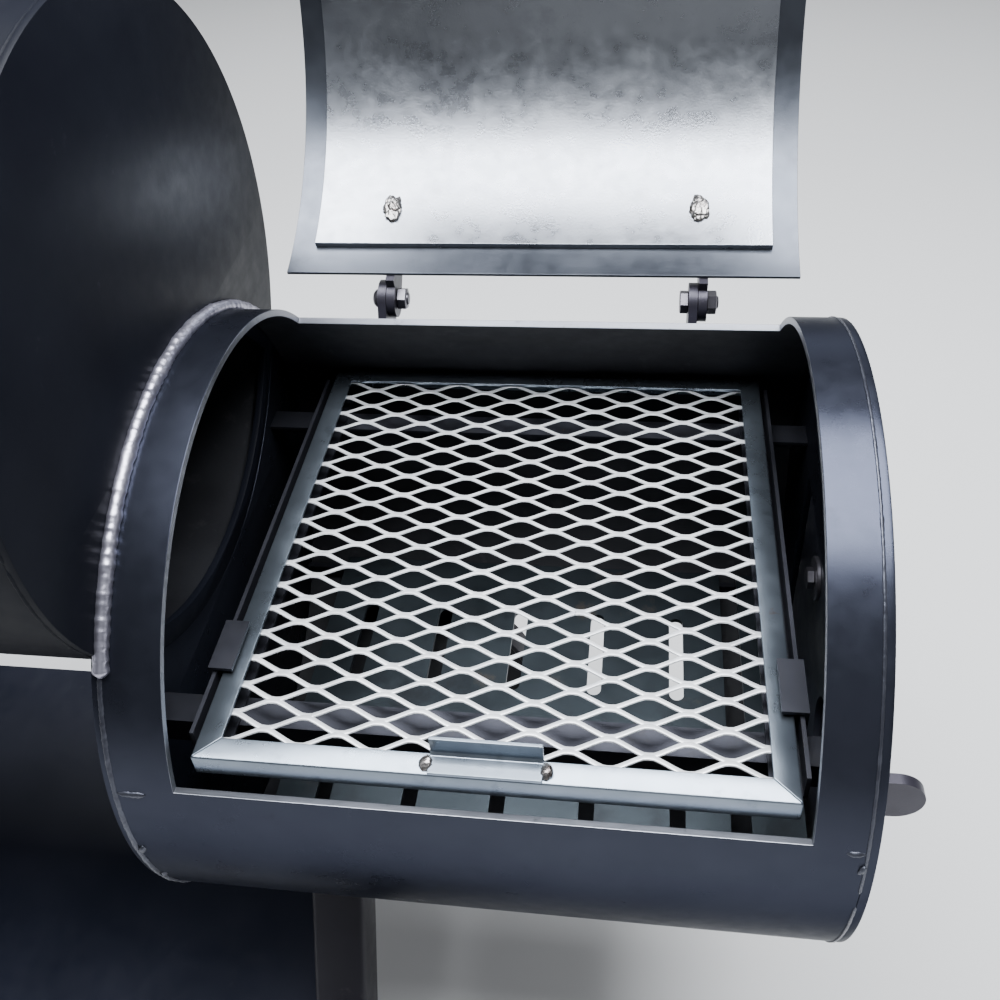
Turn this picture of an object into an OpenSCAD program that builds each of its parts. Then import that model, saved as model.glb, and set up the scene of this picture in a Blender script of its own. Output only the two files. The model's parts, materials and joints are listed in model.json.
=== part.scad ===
// Offset smoker: a horizontal pipe cooking chamber with a smaller pipe firebox
// welded low on its right end, on splayed legs with a shelf, two wheels and a stack.
// X runs along both pipes towards the firebox, Y towards the back, Z up.
// The origin is on the floor, under the centre of the whole object's box.

/* [Pipes] */
// Outside diameter of both pipes
pipe_od = 508; // [480:1:530]
// Wall of both pipes and of their end plates
wall = 6.35; // [5:0.05:8]
// Length of the cooking chamber between its end plates
chamber_len = 914; // [860:1:1016]
// Length of the firebox, end plate included
firebox_len = 530; // [520:1:560]
// Height of the firebox axis above the floor
firebox_z = 686; // [670:1:760]
// Height of the chamber axis above the firebox axis
chamber_rise = 278; // [270:1:290]
// How far the chamber axis stands behind the firebox axis
chamber_back = 14; // [0:1:20]

/* [Firebox opening and lid] */
// Width of the solid ring left of the firebox opening
ring_left = 45; // [40:1:60]
// Width of the solid ring right of the firebox opening
ring_right = 42; // [40:1:60]
// Angle of the opening's back edge, from +Y towards +Z
open_back = 43; // [40:1:46]
// Angle of the opening's front edge
open_front = 167.5; // [165:0.5:170]
// How far the lid stands open at rest
lid_open = 111.3; // [100:0.1:115]
// Gap between the lid plate and the opening at each side
lid_gap = 4.5; // [3:0.5:6]
// How far the lid's flashing laps over the pipe at the sides
lap = 19; // [12:1:22]

/* [Grate] */
// Width of the firebox grate along X
grate_w = 423; // [400:1:424]
// Depth of the firebox grate along Y
grate_d = 464; // [420:1:464]
// Height of the grate's top above the firebox axis
grate_top = 78; // [75:1:80]
// Long pitch of the expanded metal
mesh_long = 55.4; // [40:0.1:60]
// Short pitch of the expanded metal
mesh_short = 25.4; // [20:0.1:30]
// How far the grate slides out over the front lip
grate_travel = 250; // [100:1:260]

/* [Chamber door] */
// Solid shell left of the chamber door, which carries the stack
door_left = 190; // [180:1:240]
// Solid shell right of the chamber door
door_right = 70; // [60:1:100]
// Angle of the chamber door's back edge
door_back = 68; // [66:1:70]
// Angle of the chamber door's front edge
door_front = 186; // [184:1:190]

/* [Stand] */
// Width of a square leg tube
leg_w = 51; // [45:1:51]
// Lean of the firebox legs from upright
leg_splay = 27.5; // [26:0.5:28]
// Lean of the chamber legs from upright
left_splay = 20.3; // [20:0.1:21]
// Radius of a wheel
wheel_r = 127; // [120:1:130]
// Height of the shelf's top above the floor
shelf_z = 203; // [180:1:230]

/* [Stack] */
// Outside diameter of the smoke stack
stack_od = 114.3; // [100:0.1:120]
// Height of the stack above the chamber's top
stack_rise = 500; // [400:1:600]

/* [Hidden] */
$fn = 96;
cut = 1;
slip = 0.35;
ro = pipe_od / 2;
ri = ro - wall;
flash_t = 3.2;
flash_in = ro + slip;
flash_out = flash_in + flash_t;
lid_in = ri + slip;
ear_t = 8;
lobe_r = 18;
bolt_r = 6.35;
bolt_hole = 6.42;
fix_hole = 6.36;
bolt_hex = 19;
head_h = 8;
nut_h = 9;
side_play = 0.3;
chamber_z = firebox_z + chamber_rise;
shell_len = firebox_len - wall;

// The lid's pivot, just outside the pipe beside the flashing's back edge
pivot_r = 284.7;
flash_back = 6.3;
lid_pivot_a = open_back - 7.3;
lid_pivot = [0, pivot_r * cos(lid_pivot_a), pivot_r * sin(lid_pivot_a)];
door_pivot_a = door_back - 7.3;
door_pivot = [0, pivot_r * cos(door_pivot_a), pivot_r * sin(door_pivot_a)];
lid_hinge_x = [123.5, 417];
door_hinge_x = [-620, -190];

// Reach of the object from the weld plane and from the firebox axis
tow_reach = 60;
reach_left = chamber_len + 2 * wall + tow_reach;
pull_r = 20;
pull_x = firebox_len + 18;
reach_right = pull_x + pull_r;
lid_arc_y = lid_pivot[1] * (1 - cos(lid_open)) - lid_pivot[2] * sin(lid_open);
reach_back = lid_arc_y + flash_out;
wheel_gap = 342;
wheel_w = 40;
axle_end = wheel_gap + wheel_w + 16;
weld_x = (reach_left - reach_right) / 2;
fire_y = (axle_end - reach_back) / 2;

// Firebox opening, from the weld plane
fire_x0 = ring_left;
fire_x1 = firebox_len - ring_right;
// Chamber opening, from the weld plane
cook_x0 = -wall - chamber_len + door_left;
cook_x1 = -wall - door_right;

// Firebox grate
angle_w = 25;
angle_t = 3;
frame_w = 19;
flange_w = 18;
grate_x0 = (fire_x0 + fire_x1 - grate_w) / 2 + 3;
grate_y0 = -232.5;
grate_low = grate_top - frame_w;
mesh_t = 4.8;

// Side door on the firebox's end plate
side_gap = 0.3;
side_x = firebox_len + side_gap;
side_hinge_x = firebox_len + 15;
side_hinge_y = 170;
side_bolt = [55, -12];
air_port = [-62, -92];
air_r = 38;

// Ash port low on the back of the firebox
ash_x0 = 204;
ash_x1 = 442;
ash_a0 = -75;
ash_a1 = -51;
ash_open = 102;
ash_pivot_a = -80.5;
ash_pivot_r = ro + 8;
ash_pivot = [0, ash_pivot_r * cos(ash_pivot_a), ash_pivot_r * sin(ash_pivot_a)];

// Stand
fire_leg_x = 97;
cook_leg_x = -wall - chamber_len + 100;
tube_t = 3;
axle_r = 10;
stack_x = -wall - chamber_len + 95;
stack_wall = 4;
stack_top = ro + stack_rise;
cap_t = 4;
cap_bolt_r = 4;

// ---- frames and shared shapes ----

// Firebox frame: X from the weld plane, Y and Z from the firebox axis
module at_firebox() translate([weld_x, fire_y, firebox_z]) children();

// Chamber frame: X from the weld plane, Y and Z from the chamber axis
module at_chamber() translate([weld_x, fire_y + chamber_back, chamber_z]) children();

// Floor frame: X from the weld plane, Y from the firebox axis, Z from the floor
module at_floor() translate([weld_x, fire_y, 0]) children();

// Draws a flat outline (Y, Z) as a bar along X
module along_x(x0, len) translate([x0, 0, 0]) rotate([90, 0, 90]) linear_extrude(len) children();

// Draws a flat outline (X, Z) as a plate, from y0 towards the back
module along_y(y0, len) translate([0, y0 + len, 0]) rotate([90, 0, 0]) linear_extrude(len) children();

module rod_x(x0, len, r) translate([x0, 0, 0]) rotate([0, 90, 0]) cylinder(h = len, r = r);

module rod_y(y0, len, r) translate([0, y0, 0]) rotate([-90, 0, 0]) cylinder(h = len, r = r);

module box(low, high) translate(low) cube(high - low);

// Turns the Z axis to the radial direction at angle a
module radial(a) rotate([a - 90, 0, 0]) children();

module wedge(a0, a1, r = 2 * ro, steps = 6)
    polygon([[0, 0], for (i = [0:steps]) let (a = a0 + (a1 - a0) * i / steps) [r * cos(a), r * sin(a)]]);

module pipe(x0, len, outer, inner) difference() {
    rod_x(x0, len, outer);
    rod_x(x0 - cut, len + 2 * cut, inner);
}

// A piece of pipe wall between two angles
module curved_plate(x0, x1, inner, outer, a0, a1) intersection() {
    pipe(x0, x1 - x0, outer, inner);
    along_x(x0, x1 - x0) wedge(a0, a1);
}

// An L section in the YZ plane with its corner at the origin; sy and sz turn its legs
module angle_section(sy = 1, sz = 1) {
    translate([sy < 0 ? -angle_w : 0, sz < 0 ? -angle_t : 0]) square([angle_w, angle_t]);
    translate([sy < 0 ? -angle_t : 0, sz < 0 ? -angle_w : 0]) square([angle_t, angle_w]);
}

// A hex prism along X
module hex_x(x0, len, across) translate([x0, 0, 0]) rotate([0, 90, 0])
    cylinder(h = len, r = across / 2 / cos(30), $fn = 6);

// Sheet with diamond openings, between two corners in plan
module expanded_sheet(low, high) {
    strand = 4;
    size = high - low;
    cols = floor(size[0] / mesh_long);
    rows = floor(size[1] / mesh_short);
    mid = (low + high) / 2;
    half = [mesh_long / 2 - strand, mesh_short / 2 - strand * 0.6];
    difference() {
        translate(low) square(size);
        for (i = [0:2 * cols - 2], j = [0:2 * rows - 2])
            if ((i + j) % 2 == 0)
                translate(mid + [(i - cols + 1) * mesh_long / 2, (j - rows + 1) * mesh_short / 2])
                    polygon([[-half[0], 0], [0, -half[1]], [half[0], 0], [0, half[1]]]);
    }
}

// Four mitred angle irons round a rectangle, top face at z, flanges down
module angle_frame(x0, y0, w, d, z) {
    mitre = 0.5;
    corner = sqrt(2) * flange_w;
    difference() {
        box([x0, y0, z - frame_w], [x0 + w, y0 + d, z]);
        box([x0 + angle_t, y0 + angle_t, z - frame_w - cut],
            [x0 + w - angle_t, y0 + d - angle_t, z - angle_t]);
        box([x0 + flange_w, y0 + flange_w, z - frame_w - cut],
            [x0 + w - flange_w, y0 + d - flange_w, z + cut]);
        for (sx = [0, 1], sy = [0, 1])
            translate([x0 + sx * w, y0 + sy * d, z - frame_w - cut])
                rotate([0, 0, 45 + 90 * (sy == 0 ? sx : 3 - sx)])
                    translate([-cut, -mitre / 2, 0]) cube([corner + 2 * cut, mitre, frame_w + 2 * cut]);
    }
}

// ---- hinges of the chamber door and the firebox lid ----

// Rotates closed lid parts about the pivot to where they stand at rest
module open_lid() translate(lid_pivot) rotate([-lid_open, 0, 0]) translate(-lid_pivot) children();

// Lobed ear outline: a round eye at the pivot and a foot on the pipe
module ear_outline(pivot, a) {
    foot_half = 24;
    foot_lag = 7;
    eye = [pivot[1], pivot[2]];
    foot = (ro - 2) * [cos(a - foot_lag), sin(a - foot_lag)];
    dir = (foot - eye) / norm(foot - eye);
    side = [-dir[1], dir[0]];
    difference() {
        union() {
            translate(eye) circle(r = lobe_r);
            polygon([eye + side * lobe_r, foot + side * foot_half,
                foot - side * foot_half, eye - side * lobe_r]);
        }
        circle(r = ro, $fn = 192);
    }
}

module hinge_ears(pivot, a, xs) difference() {
    for (x = xs) along_x(x - ear_t - side_play, ear_t) ear_outline(pivot, a);
    for (x = xs) translate(pivot) rod_x(x - 2 * ear_t, 3 * ear_t, fix_hole);
    rod_x(xs[0] - 100, xs[1] - xs[0] + 200, ro);
}

// Arm outline: a round eye and a strap that follows the flashing
module arm_outline(pivot, a) {
    eye = [pivot[1], pivot[2]];
    strap = 20;
    tip = a + 27;
    difference() {
        union() {
            translate(eye) circle(r = lobe_r);
            intersection() {
                difference() {
                    circle(r = flash_out + strap, $fn = 192);
                    circle(r = flash_out, $fn = 192);
                }
                wedge(a - 0.5, tip);
            }
            polygon([eye + lobe_r * [cos(a), sin(a)], (flash_out + strap) * [cos(a + 9), sin(a + 9)],
                (flash_out + 1) * [cos(a + 7), sin(a + 7)], (flash_out + 1) * [cos(a + 2), sin(a + 2)]]);
        }
        circle(r = flash_out, $fn = 192);
    }
}

module hinge_arms(pivot, a, xs) difference() {
    for (x = xs) along_x(x + side_play, ear_t) arm_outline(pivot, a);
    for (x = xs) translate(pivot) rod_x(x - 2 * ear_t, 4 * ear_t, bolt_hole);
    rod_x(xs[0] - 100, xs[1] - xs[0] + 200, flash_out);
}

module hinge_bolts(pivot, xs) for (x = xs) translate([x, pivot[1], pivot[2]]) {
    rod_x(-ear_t - side_play, 2 * ear_t + 12, bolt_r);
    hex_x(-ear_t - side_play - head_h, head_h, bolt_hex);
}

module hinge_nuts(pivot, xs) for (x = xs) translate([x, pivot[1], pivot[2]]) difference() {
    hex_x(ear_t + 2 * side_play, nut_h, bolt_hex);
    rod_x(ear_t, nut_h + 2, bolt_r);
}

// Side and back strips that lap over the pipe round a lid
module flashing(x0, x1, a0, a1) {
    strip_in = 21;
    edge = flash_back;
    difference() {
        curved_plate(x0 - lap, x1 + lap, flash_in, flash_out, a0 - edge, a1 + edge);
        along_x(x0 + strip_in, x1 - x0 - 2 * strip_in) wedge(a0 + 3, a1 - 3, steps = 12);
    }
}

// ---- cooking chamber ----

module chamber_shell() color("#14161d") at_chamber() difference() {
    pipe(-wall - chamber_len, chamber_len, ro, ri);
    along_x(cook_x0, cook_x1 - cook_x0) wedge(door_back, door_front);
    translate([stack_x, 0, 0]) cylinder(h = 2 * ro, r = stack_od / 2 - stack_wall);
    translate([drain_x, 0, -2 * ro]) cylinder(h = 2 * ro, r = drain_r - 4);
}

// Lens where both pipes overlap, which the smoke goes through
module throat(x0, len) intersection() {
    rod_x(x0, len, ri - 12);
    translate([0, -chamber_back, -chamber_rise]) rod_x(x0, len, ri - 12);
}

module chamber_firebox_end_plate() color("#101218") at_chamber() difference() {
    rod_x(-wall, wall, ro);
    throat(-wall - cut, wall + 2 * cut);
}

module chamber_stack_end_plate() color("#14161d") at_chamber()
    rod_x(-2 * wall - chamber_len, wall, ro);

// Angle irons along both sides of the chamber, which the cooking grates rest on
rail_y = 236;
rail_z = -30;
module chamber_grate_rails() color("#20242c") at_chamber() for (s = [-1, 1])
    translate([0, s * rail_y, rail_z]) mirror([0, s > 0 ? 0 : 1, 0])
        along_x(-wall - chamber_len, chamber_len) angle_section(-1, 1);

// Two cooking grates side by side: angle frames with expanded metal under their flanges
cook_grate = [440, 458];
cook_x = [-wall - chamber_len + 10, -wall - 10 - cook_grate[0]];
cook_top = rail_z + angle_t + frame_w;
module cooking_grate_frames() color("#6d747c") at_chamber() for (x = cook_x)
    angle_frame(x, -cook_grate[1] / 2, cook_grate[0], cook_grate[1], cook_top);

module cooking_grate_meshes() color("#8e959c") at_chamber() for (x = cook_x) {
    inset = [angle_t + 1, angle_t + 1];
    low = [x, -cook_grate[1] / 2];
    translate([0, 0, cook_top - angle_t - mesh_t]) linear_extrude(mesh_t)
        expanded_sheet(low + inset, low + cook_grate - inset);
}

// Sloping plate that spreads the smoke along the chamber
baffle = [260, 360, 4];
baffle_z = -55;
baffle_slope = 14;
module heat_baffle() color("#1b1e24") at_chamber() difference() {
    translate([-wall, 0, baffle_z]) rotate([0, -baffle_slope, 0])
        box([-baffle[0], -baffle[1] / 2, -baffle[2]], [0, baffle[1] / 2, 0]);
    box([-wall, -baffle[1], baffle_z - baffle[2] - cut], [0, baffle[1], baffle_z + cut]);
}

module chamber_hinge_ears() color("#1d2029") at_chamber()
    hinge_ears(door_pivot, door_pivot_a, door_hinge_x);

module chamber_hinge_bolts() color("#3a3d48") at_chamber() hinge_bolts(door_pivot, door_hinge_x);

module chamber_hinge_nuts() color("#3a3d48") at_chamber() hinge_nuts(door_pivot, door_hinge_x);

module chamber_door_plate() color("#191b23") at_chamber() difference() {
    curved_plate(cook_x0 + lid_gap, cook_x1 - lid_gap, lid_in, flash_in, door_back + 0.9, door_front - 0.9);
    translate([dial_x, 0, 0]) radial(dial_a) cylinder(h = 2 * ro, r = 6.5);
}

module chamber_door_flashing() color("#191b23") at_chamber()
    flashing(cook_x0, cook_x1, door_back, door_front);

module chamber_door_hinge_arms() color("#1d2029") at_chamber()
    hinge_arms(door_pivot, door_pivot_a, door_hinge_x);

// Two round posts and the bar between them, standing off a curved plate
grip_off = 48;
grip_r = 8;
post_r = 7;
module handle_posts(xs, a, seat) radial(a) difference() {
    for (x = xs) translate([x, 0, seat - 1]) cylinder(h = grip_off + 1, r = post_r);
    translate([0, 0, seat + grip_off]) rod_x(xs[0] - 20, xs[1] - xs[0] + 40, grip_r);
    rod_x(xs[0] - 20, xs[1] - xs[0] + 40, seat);
}

module handle_grip(xs, a, seat) radial(a) translate([0, 0, seat + grip_off])
    rod_x(xs[0] - 14, xs[1] - xs[0] + 28, grip_r);

// Radius of the door's and the lid's outer face, which the handle posts stand on
grip_seat = flash_in;
door_grip_x = [(cook_x0 + cook_x1) / 2 - 150, (cook_x0 + cook_x1) / 2 + 150];
door_grip_a = 176;
module chamber_door_handle_posts() color("#20232c") at_chamber()
    handle_posts(door_grip_x, door_grip_a, grip_seat);

module chamber_door_handle_grip() color("#8f959b") at_chamber()
    handle_grip(door_grip_x, door_grip_a, grip_seat);

// Round bar on two stubs, for lifting the end without wheels
tow_r = 11;
tow_half = 130;
module tow_handle() color("#20232c") at_chamber() {
    x0 = -2 * wall - chamber_len - tow_reach;
    translate([x0 + tow_r, 0, 0]) rod_y(-tow_half, 2 * tow_half, tow_r);
    for (s = [-1, 1]) translate([0, s * (tow_half - 20), 0]) rod_x(x0 + tow_r, tow_reach - tow_r, 8);
}

dial_x = (cook_x0 + cook_x1) / 2;
dial_a = 138;
dial_r = 38;
module thermometer_case() color("#b9bdc2") at_chamber() translate([dial_x, 0, 0]) radial(dial_a) {
    translate([0, 0, ro - 90]) cylinder(h = 94, r = 3);
    translate([0, 0, flash_in]) cylinder(h = 9.6, r = 11);
    difference() {
        translate([0, 0, flash_in + 9.6]) cylinder(h = 12, r = dial_r);
        translate([0, 0, flash_in + 13]) cylinder(h = 12, r = dial_r - 2.5);
    }
}

module thermometer_dial() color("#e8e8e4") at_chamber() translate([dial_x, 0, 0]) radial(dial_a)
    translate([0, 0, flash_in + 13]) difference() {
        cylinder(h = 1.2, r = dial_r - 2.5);
        translate([0, 0, -cut]) cylinder(h = 3, r = 1.9);
    }

module thermometer_needle() color("#a3232a") at_chamber() translate([dial_x, 0, 0]) radial(dial_a)
    translate([0, 0, flash_in + 13]) {
        translate([0, 0, 0.2]) cylinder(h = 3.8, r = 1.8);
        translate([0, 0, 2.2]) linear_extrude(0.8)
            polygon([[-27, 0], [0, -1.8], [27, 0], [0, 1.8]]);
    }

// ---- smoke stack and drain ----

module smoke_stack() color("#14161d") at_chamber() difference() {
    translate([stack_x, 0, 0]) cylinder(h = stack_top, r = stack_od / 2);
    translate([stack_x, 0, -cut]) cylinder(h = stack_top + 2 * cut, r = stack_od / 2 - stack_wall);
    rod_x(-2 * ro - chamber_len, 2 * chamber_len, ro);
}

cap_pivot = [stack_x + stack_od / 2 + 10, 0];
module stack_cap() color("#191b23") at_chamber() difference() {
    union() {
        translate([stack_x, 0, stack_top + 0.3]) cylinder(h = cap_t, r = stack_od / 2 + 4);
        translate([cap_pivot[0], 0, stack_top + 0.3]) cylinder(h = cap_t, r = 14);
        box([stack_x, -14, stack_top + 0.3], [cap_pivot[0], 14, stack_top + 0.3 + cap_t]);
        box([stack_x - stack_od / 2 - 45, -9, stack_top + 0.3], [stack_x, 9, stack_top + 0.3 + cap_t]);
    }
    translate([cap_pivot[0], 0, stack_top - 10]) cylinder(h = 30, r = cap_bolt_r + 0.07);
}

// Lug on the stack's side and the upright bolt that the cap turns on
module stack_cap_bolt() color("#3a3d48") at_chamber() {
    difference() {
        box([stack_x, -13, stack_top - 30], [cap_pivot[0] + 13, 13, stack_top]);
        translate([stack_x, 0, stack_top - 40]) cylinder(h = 60, r = stack_od / 2);
    }
    translate([cap_pivot[0], 0, stack_top - 5]) cylinder(h = 5 + 0.6 + cap_t, r = cap_bolt_r);
    translate([cap_pivot[0], 0, stack_top + 0.6 + cap_t]) cylinder(h = 5, r = 7.5, $fn = 6);
}

// Drain at the stack end, outside the shelf and the legs
drain_x = -2 * wall - chamber_len + 41.7;
drain_r = 16.7;
drain_len = 105;
valve_z = -ro - 58;
valve_r = 24;
valve_len = 40;
stem_r = 4;
module drain_pipe() color("#b08d4a") at_chamber() translate([drain_x, 0, 0]) difference() {
    union() {
        translate([0, 0, -ro - drain_len]) cylinder(h = drain_len, r = drain_r);
        translate([0, 0, valve_z - valve_len / 2]) cylinder(h = valve_len, r = valve_r);
        translate([0, 0, valve_z]) rod_y(-36, 36, 9);
        translate([0, 0, valve_z]) rod_y(-46, 36, stem_r);
    }
    translate([0, 0, -ro - drain_len - cut]) cylinder(h = ro, r = drain_r - 4);
    rod_x(-valve_r - cut, 2 * valve_r + 2 * cut, ro);
}

module drain_valve_lever() color("#a3232a") at_chamber() translate([drain_x, 0, valve_z]) difference() {
    union() {
        rod_y(-42, 4, 12);
        box([0, -42, -8], [95, -38, 8]);
    }
    rod_y(-60, 40, stem_r + 0.06);
}

// ---- firebox ----

module firebox_shell() color("#2b2f3a") at_firebox() difference() {
    pipe(0, shell_len, ro, ri);
    along_x(fire_x0, fire_x1 - fire_x0) wedge(open_back, open_front);
    along_x(ash_x0, ash_x1 - ash_x0) wedge(ash_a0, ash_a1);
}

// Crescent that closes the firebox's left end below the chamber's plate
module firebox_closing_plate() color("#1c1f28") at_firebox() difference() {
    rod_x(-wall, wall, ro);
    translate([0, chamber_back, chamber_rise]) rod_x(-2 * wall, 3 * wall, ro);
}

// Outline of the side door opening and, grown by a lap, of the door itself
module side_outline(grow) intersection() {
    translate([-185 - grow, -300]) square([325 + 2 * grow, 340 + grow]);
    circle(r = 234 + grow * 0.85, $fn = 192);
}

module firebox_end_plate() color("#232631") at_firebox() difference() {
    rod_x(shell_len, wall, ro);
    along_x(shell_len - cut, wall + 2 * cut) side_outline(0);
}

// Fillet weld round the firebox where it meets the chamber's end plate
bead = 9;
bead_a0 = 30;
bead_a1 = 146;
module firebox_weld_bead() color("#a9adba") at_firebox() rotate([0, 90, 0]) rotate([0, 0, bead_a0 + 90])
    rotate_extrude(angle = bead_a1 - bead_a0) polygon([[ro, 0], [ro + bead, 0], [ro, bead]]);

// Two angle irons under the grate's rails and two flat bars under the fire plate
cross_y = [-188, 163];
cross_top = grate_low - angle_t;
fire_top = -152;
fire_t = 5;
fire_bar = [6, 13];
fire_bar_y = 176;
module firebox_cross_members() color("#3d424d") at_firebox() {
    for (y = cross_y)
        translate([0, y < 0 ? y : y + angle_w, cross_top])
            along_x(0, shell_len) angle_section(y < 0 ? 1 : -1, -1);
    for (s = [-1, 1]) translate([0, s * fire_bar_y - fire_bar[0] / 2, fire_top - fire_t - fire_bar[1]])
        cube([shell_len, fire_bar[0], fire_bar[1]]);
}

rail_gap = 3.5;
grate_rail_x = [grate_x0 - rail_gap, grate_x0 + grate_w + rail_gap];
rail_ends = [-214, 212];
rail_h = 24;
module grate_rails() color("#2f333d") at_firebox() for (side = [0, 1])
    translate([grate_rail_x[side] + (side == 0 ? -angle_t : angle_t), 0, cross_top])
        mirror([side, 0, 0]) {
            box([0, rail_ends[0], 0], [angle_w, rail_ends[1], angle_t]);
            box([0, rail_ends[0], 0], [angle_t, rail_ends[1], rail_h]);
        }

clip_len = 47;
clip_drop = 16;
clip_y = [-159, -165];
module grate_clips() color("#3a3643") at_firebox() for (side = [0, 1])
    translate([grate_rail_x[side] + (side == 0 ? -2 : 2) * angle_t, clip_y[side], grate_top + 4])
        mirror([side, 0, 0]) {
            box([0, 0, 0], [frame_w, clip_len, angle_t]);
            box([0, 0, -clip_drop], [angle_t, clip_len, angle_t]);
        }

slot_pitch = 80.5;
slot_w = 14;
slot_len = 103;
module fire_slot() {
    end = slot_len / 2 - slot_w / 2;
    translate([-slot_w / 2, -end]) square([slot_w, 2 * end]);
    for (s = [-1, 1]) translate([0, s * end]) circle(r = slot_w / 2);
}

// Plate with two rows of slots and a narrow plate beside it
fire_x = [45, 457];
narrow_x = [475, 521];
fire_half = 186;
slot_x0 = 89;
slot_y = [-89, 68];
module fire_plate() color("#4a545c") at_firebox() translate([0, 0, fire_top - fire_t])
    linear_extrude(fire_t) {
        difference() {
            translate([fire_x[0], -fire_half]) square([fire_x[1] - fire_x[0], 2 * fire_half]);
            for (i = [0:4], y = slot_y) translate([slot_x0 + i * slot_pitch, y]) fire_slot();
        }
        translate([narrow_x[0], -fire_half]) square([narrow_x[1] - narrow_x[0], 2 * fire_half]);
    }

// ---- firebox lid ----

module lid_hinge_ears() color("#2a2933") at_firebox() hinge_ears(lid_pivot, lid_pivot_a, lid_hinge_x);

module lid_hinge_bolts() color("#34313c") at_firebox() hinge_bolts(lid_pivot, lid_hinge_x);

module lid_hinge_nuts() color("#34313c") at_firebox() hinge_nuts(lid_pivot, lid_hinge_x);

module firebox_lid_plate() color("#767c88") at_firebox() open_lid()
    curved_plate(fire_x0 + lid_gap, fire_x1 - lid_gap, lid_in, flash_in, open_back + 0.9, open_front - 0.9);

module firebox_lid_flashing() color("#5a606c") at_firebox() open_lid()
    flashing(fire_x0, fire_x1, open_back, open_front);

module firebox_lid_hinge_arms() color("#2a2933") at_firebox() open_lid()
    hinge_arms(lid_pivot, lid_pivot_a, lid_hinge_x);

// Two plugs of weld on the lid's inner face, level with the hinge arms
module firebox_lid_plug_welds() color("#6e6a68") at_firebox() open_lid()
    for (x = lid_hinge_x) intersection() {
        translate([x, 0, 0]) radial(open_back + 10) translate([0, 0, ri - 3]) sphere(r = 11);
        rod_x(x - 20, 40, lid_in);
    }

lid_grip_x = [(fire_x0 + fire_x1) / 2 - 75, (fire_x0 + fire_x1) / 2 + 75];
lid_grip_a = 157;
module firebox_lid_handle_posts() color("#20232c") at_firebox() open_lid()
    handle_posts(lid_grip_x, lid_grip_a, grip_seat);

module firebox_lid_handle_grip() color("#8f959b") at_firebox() open_lid()
    handle_grip(lid_grip_x, lid_grip_a, grip_seat);

// ---- firebox grate ----

module grate_frame() color("#8b99a8") at_firebox()
    angle_frame(grate_x0, grate_y0, grate_w, grate_d, grate_top);

module grate_mesh() color("#dfe4e8") at_firebox() translate([0, 0, grate_top - angle_t - mesh_t])
    linear_extrude(mesh_t) expanded_sheet([grate_x0 + angle_t + 1, grate_y0 + angle_t + 1],
        [grate_x0 + grate_w - angle_t - 1, grate_y0 + grate_d - angle_t - 1]);

handle_x = [229.5, 309];
handle_top = grate_top + frame_w;
module grate_handle() color("#5d6470") at_firebox() {
    back = grate_y0 + frame_w;
    box([handle_x[0], grate_y0, grate_top], [handle_x[1], back, grate_top + angle_t]);
    box([handle_x[0], back - angle_t, grate_top + angle_t], [handle_x[1], back, handle_top]);
}

// ---- side door ----

module side_door_plate() color("#2a2d38") at_firebox() difference() {
    along_x(side_x, wall) side_outline(15);
    translate([0, air_port[0], air_port[1]]) rod_x(side_x - cut, 2 * wall, air_r);
    translate([0, side_bolt[0], side_bolt[1]]) rod_x(side_x - cut, 2 * wall, 5.05);
}

// Hinge barrels: each hinge has one knuckle on the door and one on the end plate below it
knuckle_z = [-100, 0];
knuckle_h = 24;
knuckle_r = 8;
pin_r = 4;
module knuckle(z) translate([side_hinge_x, side_hinge_y, z]) cylinder(h = knuckle_h, r = knuckle_r);

module side_door_knuckles() color("#20232c") at_firebox() difference() {
    for (z = knuckle_z) {
        low = z + knuckle_h + side_play;
        knuckle(low);
        box([side_x + wall, side_hinge_y - 60, low],
            [side_x + wall + 5, side_hinge_y - 2, low + knuckle_h]);
    }
    for (z = knuckle_z)
        translate([side_hinge_x, side_hinge_y, z]) cylinder(h = 3 * knuckle_h, r = pin_r + 0.06);
}

module side_hinge_leaves() color("#20232c") at_firebox() difference() {
    for (z = knuckle_z) {
        knuckle(z);
        box([firebox_len, side_hinge_y - 4, z], [side_hinge_x, side_hinge_y + 6, z + knuckle_h]);
    }
    for (z = knuckle_z)
        translate([side_hinge_x, side_hinge_y, z - cut]) cylinder(h = 3 * knuckle_h, r = pin_r);
}

module side_hinge_pins() color("#6f747c") at_firebox() for (z = knuckle_z)
    translate([side_hinge_x, side_hinge_y, z]) {
        translate([0, 0, -2]) cylinder(h = 2 * knuckle_h + 3, r = pin_r);
        translate([0, 0, 2 * knuckle_h + 1]) cylinder(h = 4, r = 7);
    }

// Rounded tab standing on the door's edge
pull_y = -199;
pull_z = 45;
pull_t = 8;
module side_door_pull() color("#2c2c36") at_firebox() translate([0, pull_y - pull_t / 2, pull_z])
    difference() {
        union() {
            translate([pull_x, 0, 0]) rod_y(0, pull_t, pull_r);
            box([side_x + wall, 0, -pull_r], [pull_x, pull_t, pull_r]);
        }
        box([pull_x - 2 * pull_r, -cut, -pull_r - cut], [side_x + wall, pull_t + cut, pull_r + cut]);
    }

damper_t = 5;
side_bolt_r = 5;
side_hex = 17;
side_hex_h = 7;
washer_t = 4;
module side_door_bolt() color("#5d5f68") at_firebox() translate([0, side_bolt[0], side_bolt[1]]) {
    rod_x(side_x - washer_t, washer_t + wall + 2 * side_hex_h, side_bolt_r);
    hex_x(side_x - washer_t - side_hex_h, side_hex_h, side_hex);
    hex_x(side_x + wall + damper_t + 1.5, side_hex_h, side_hex);
}

module side_door_washer() color("#6d6f7a") at_firebox() translate([0, side_bolt[0], side_bolt[1]])
    difference() {
        rod_x(side_x - washer_t, washer_t, 20);
        rod_x(side_x - washer_t - cut, washer_t + 2 * cut, side_bolt_r);
    }

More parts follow.
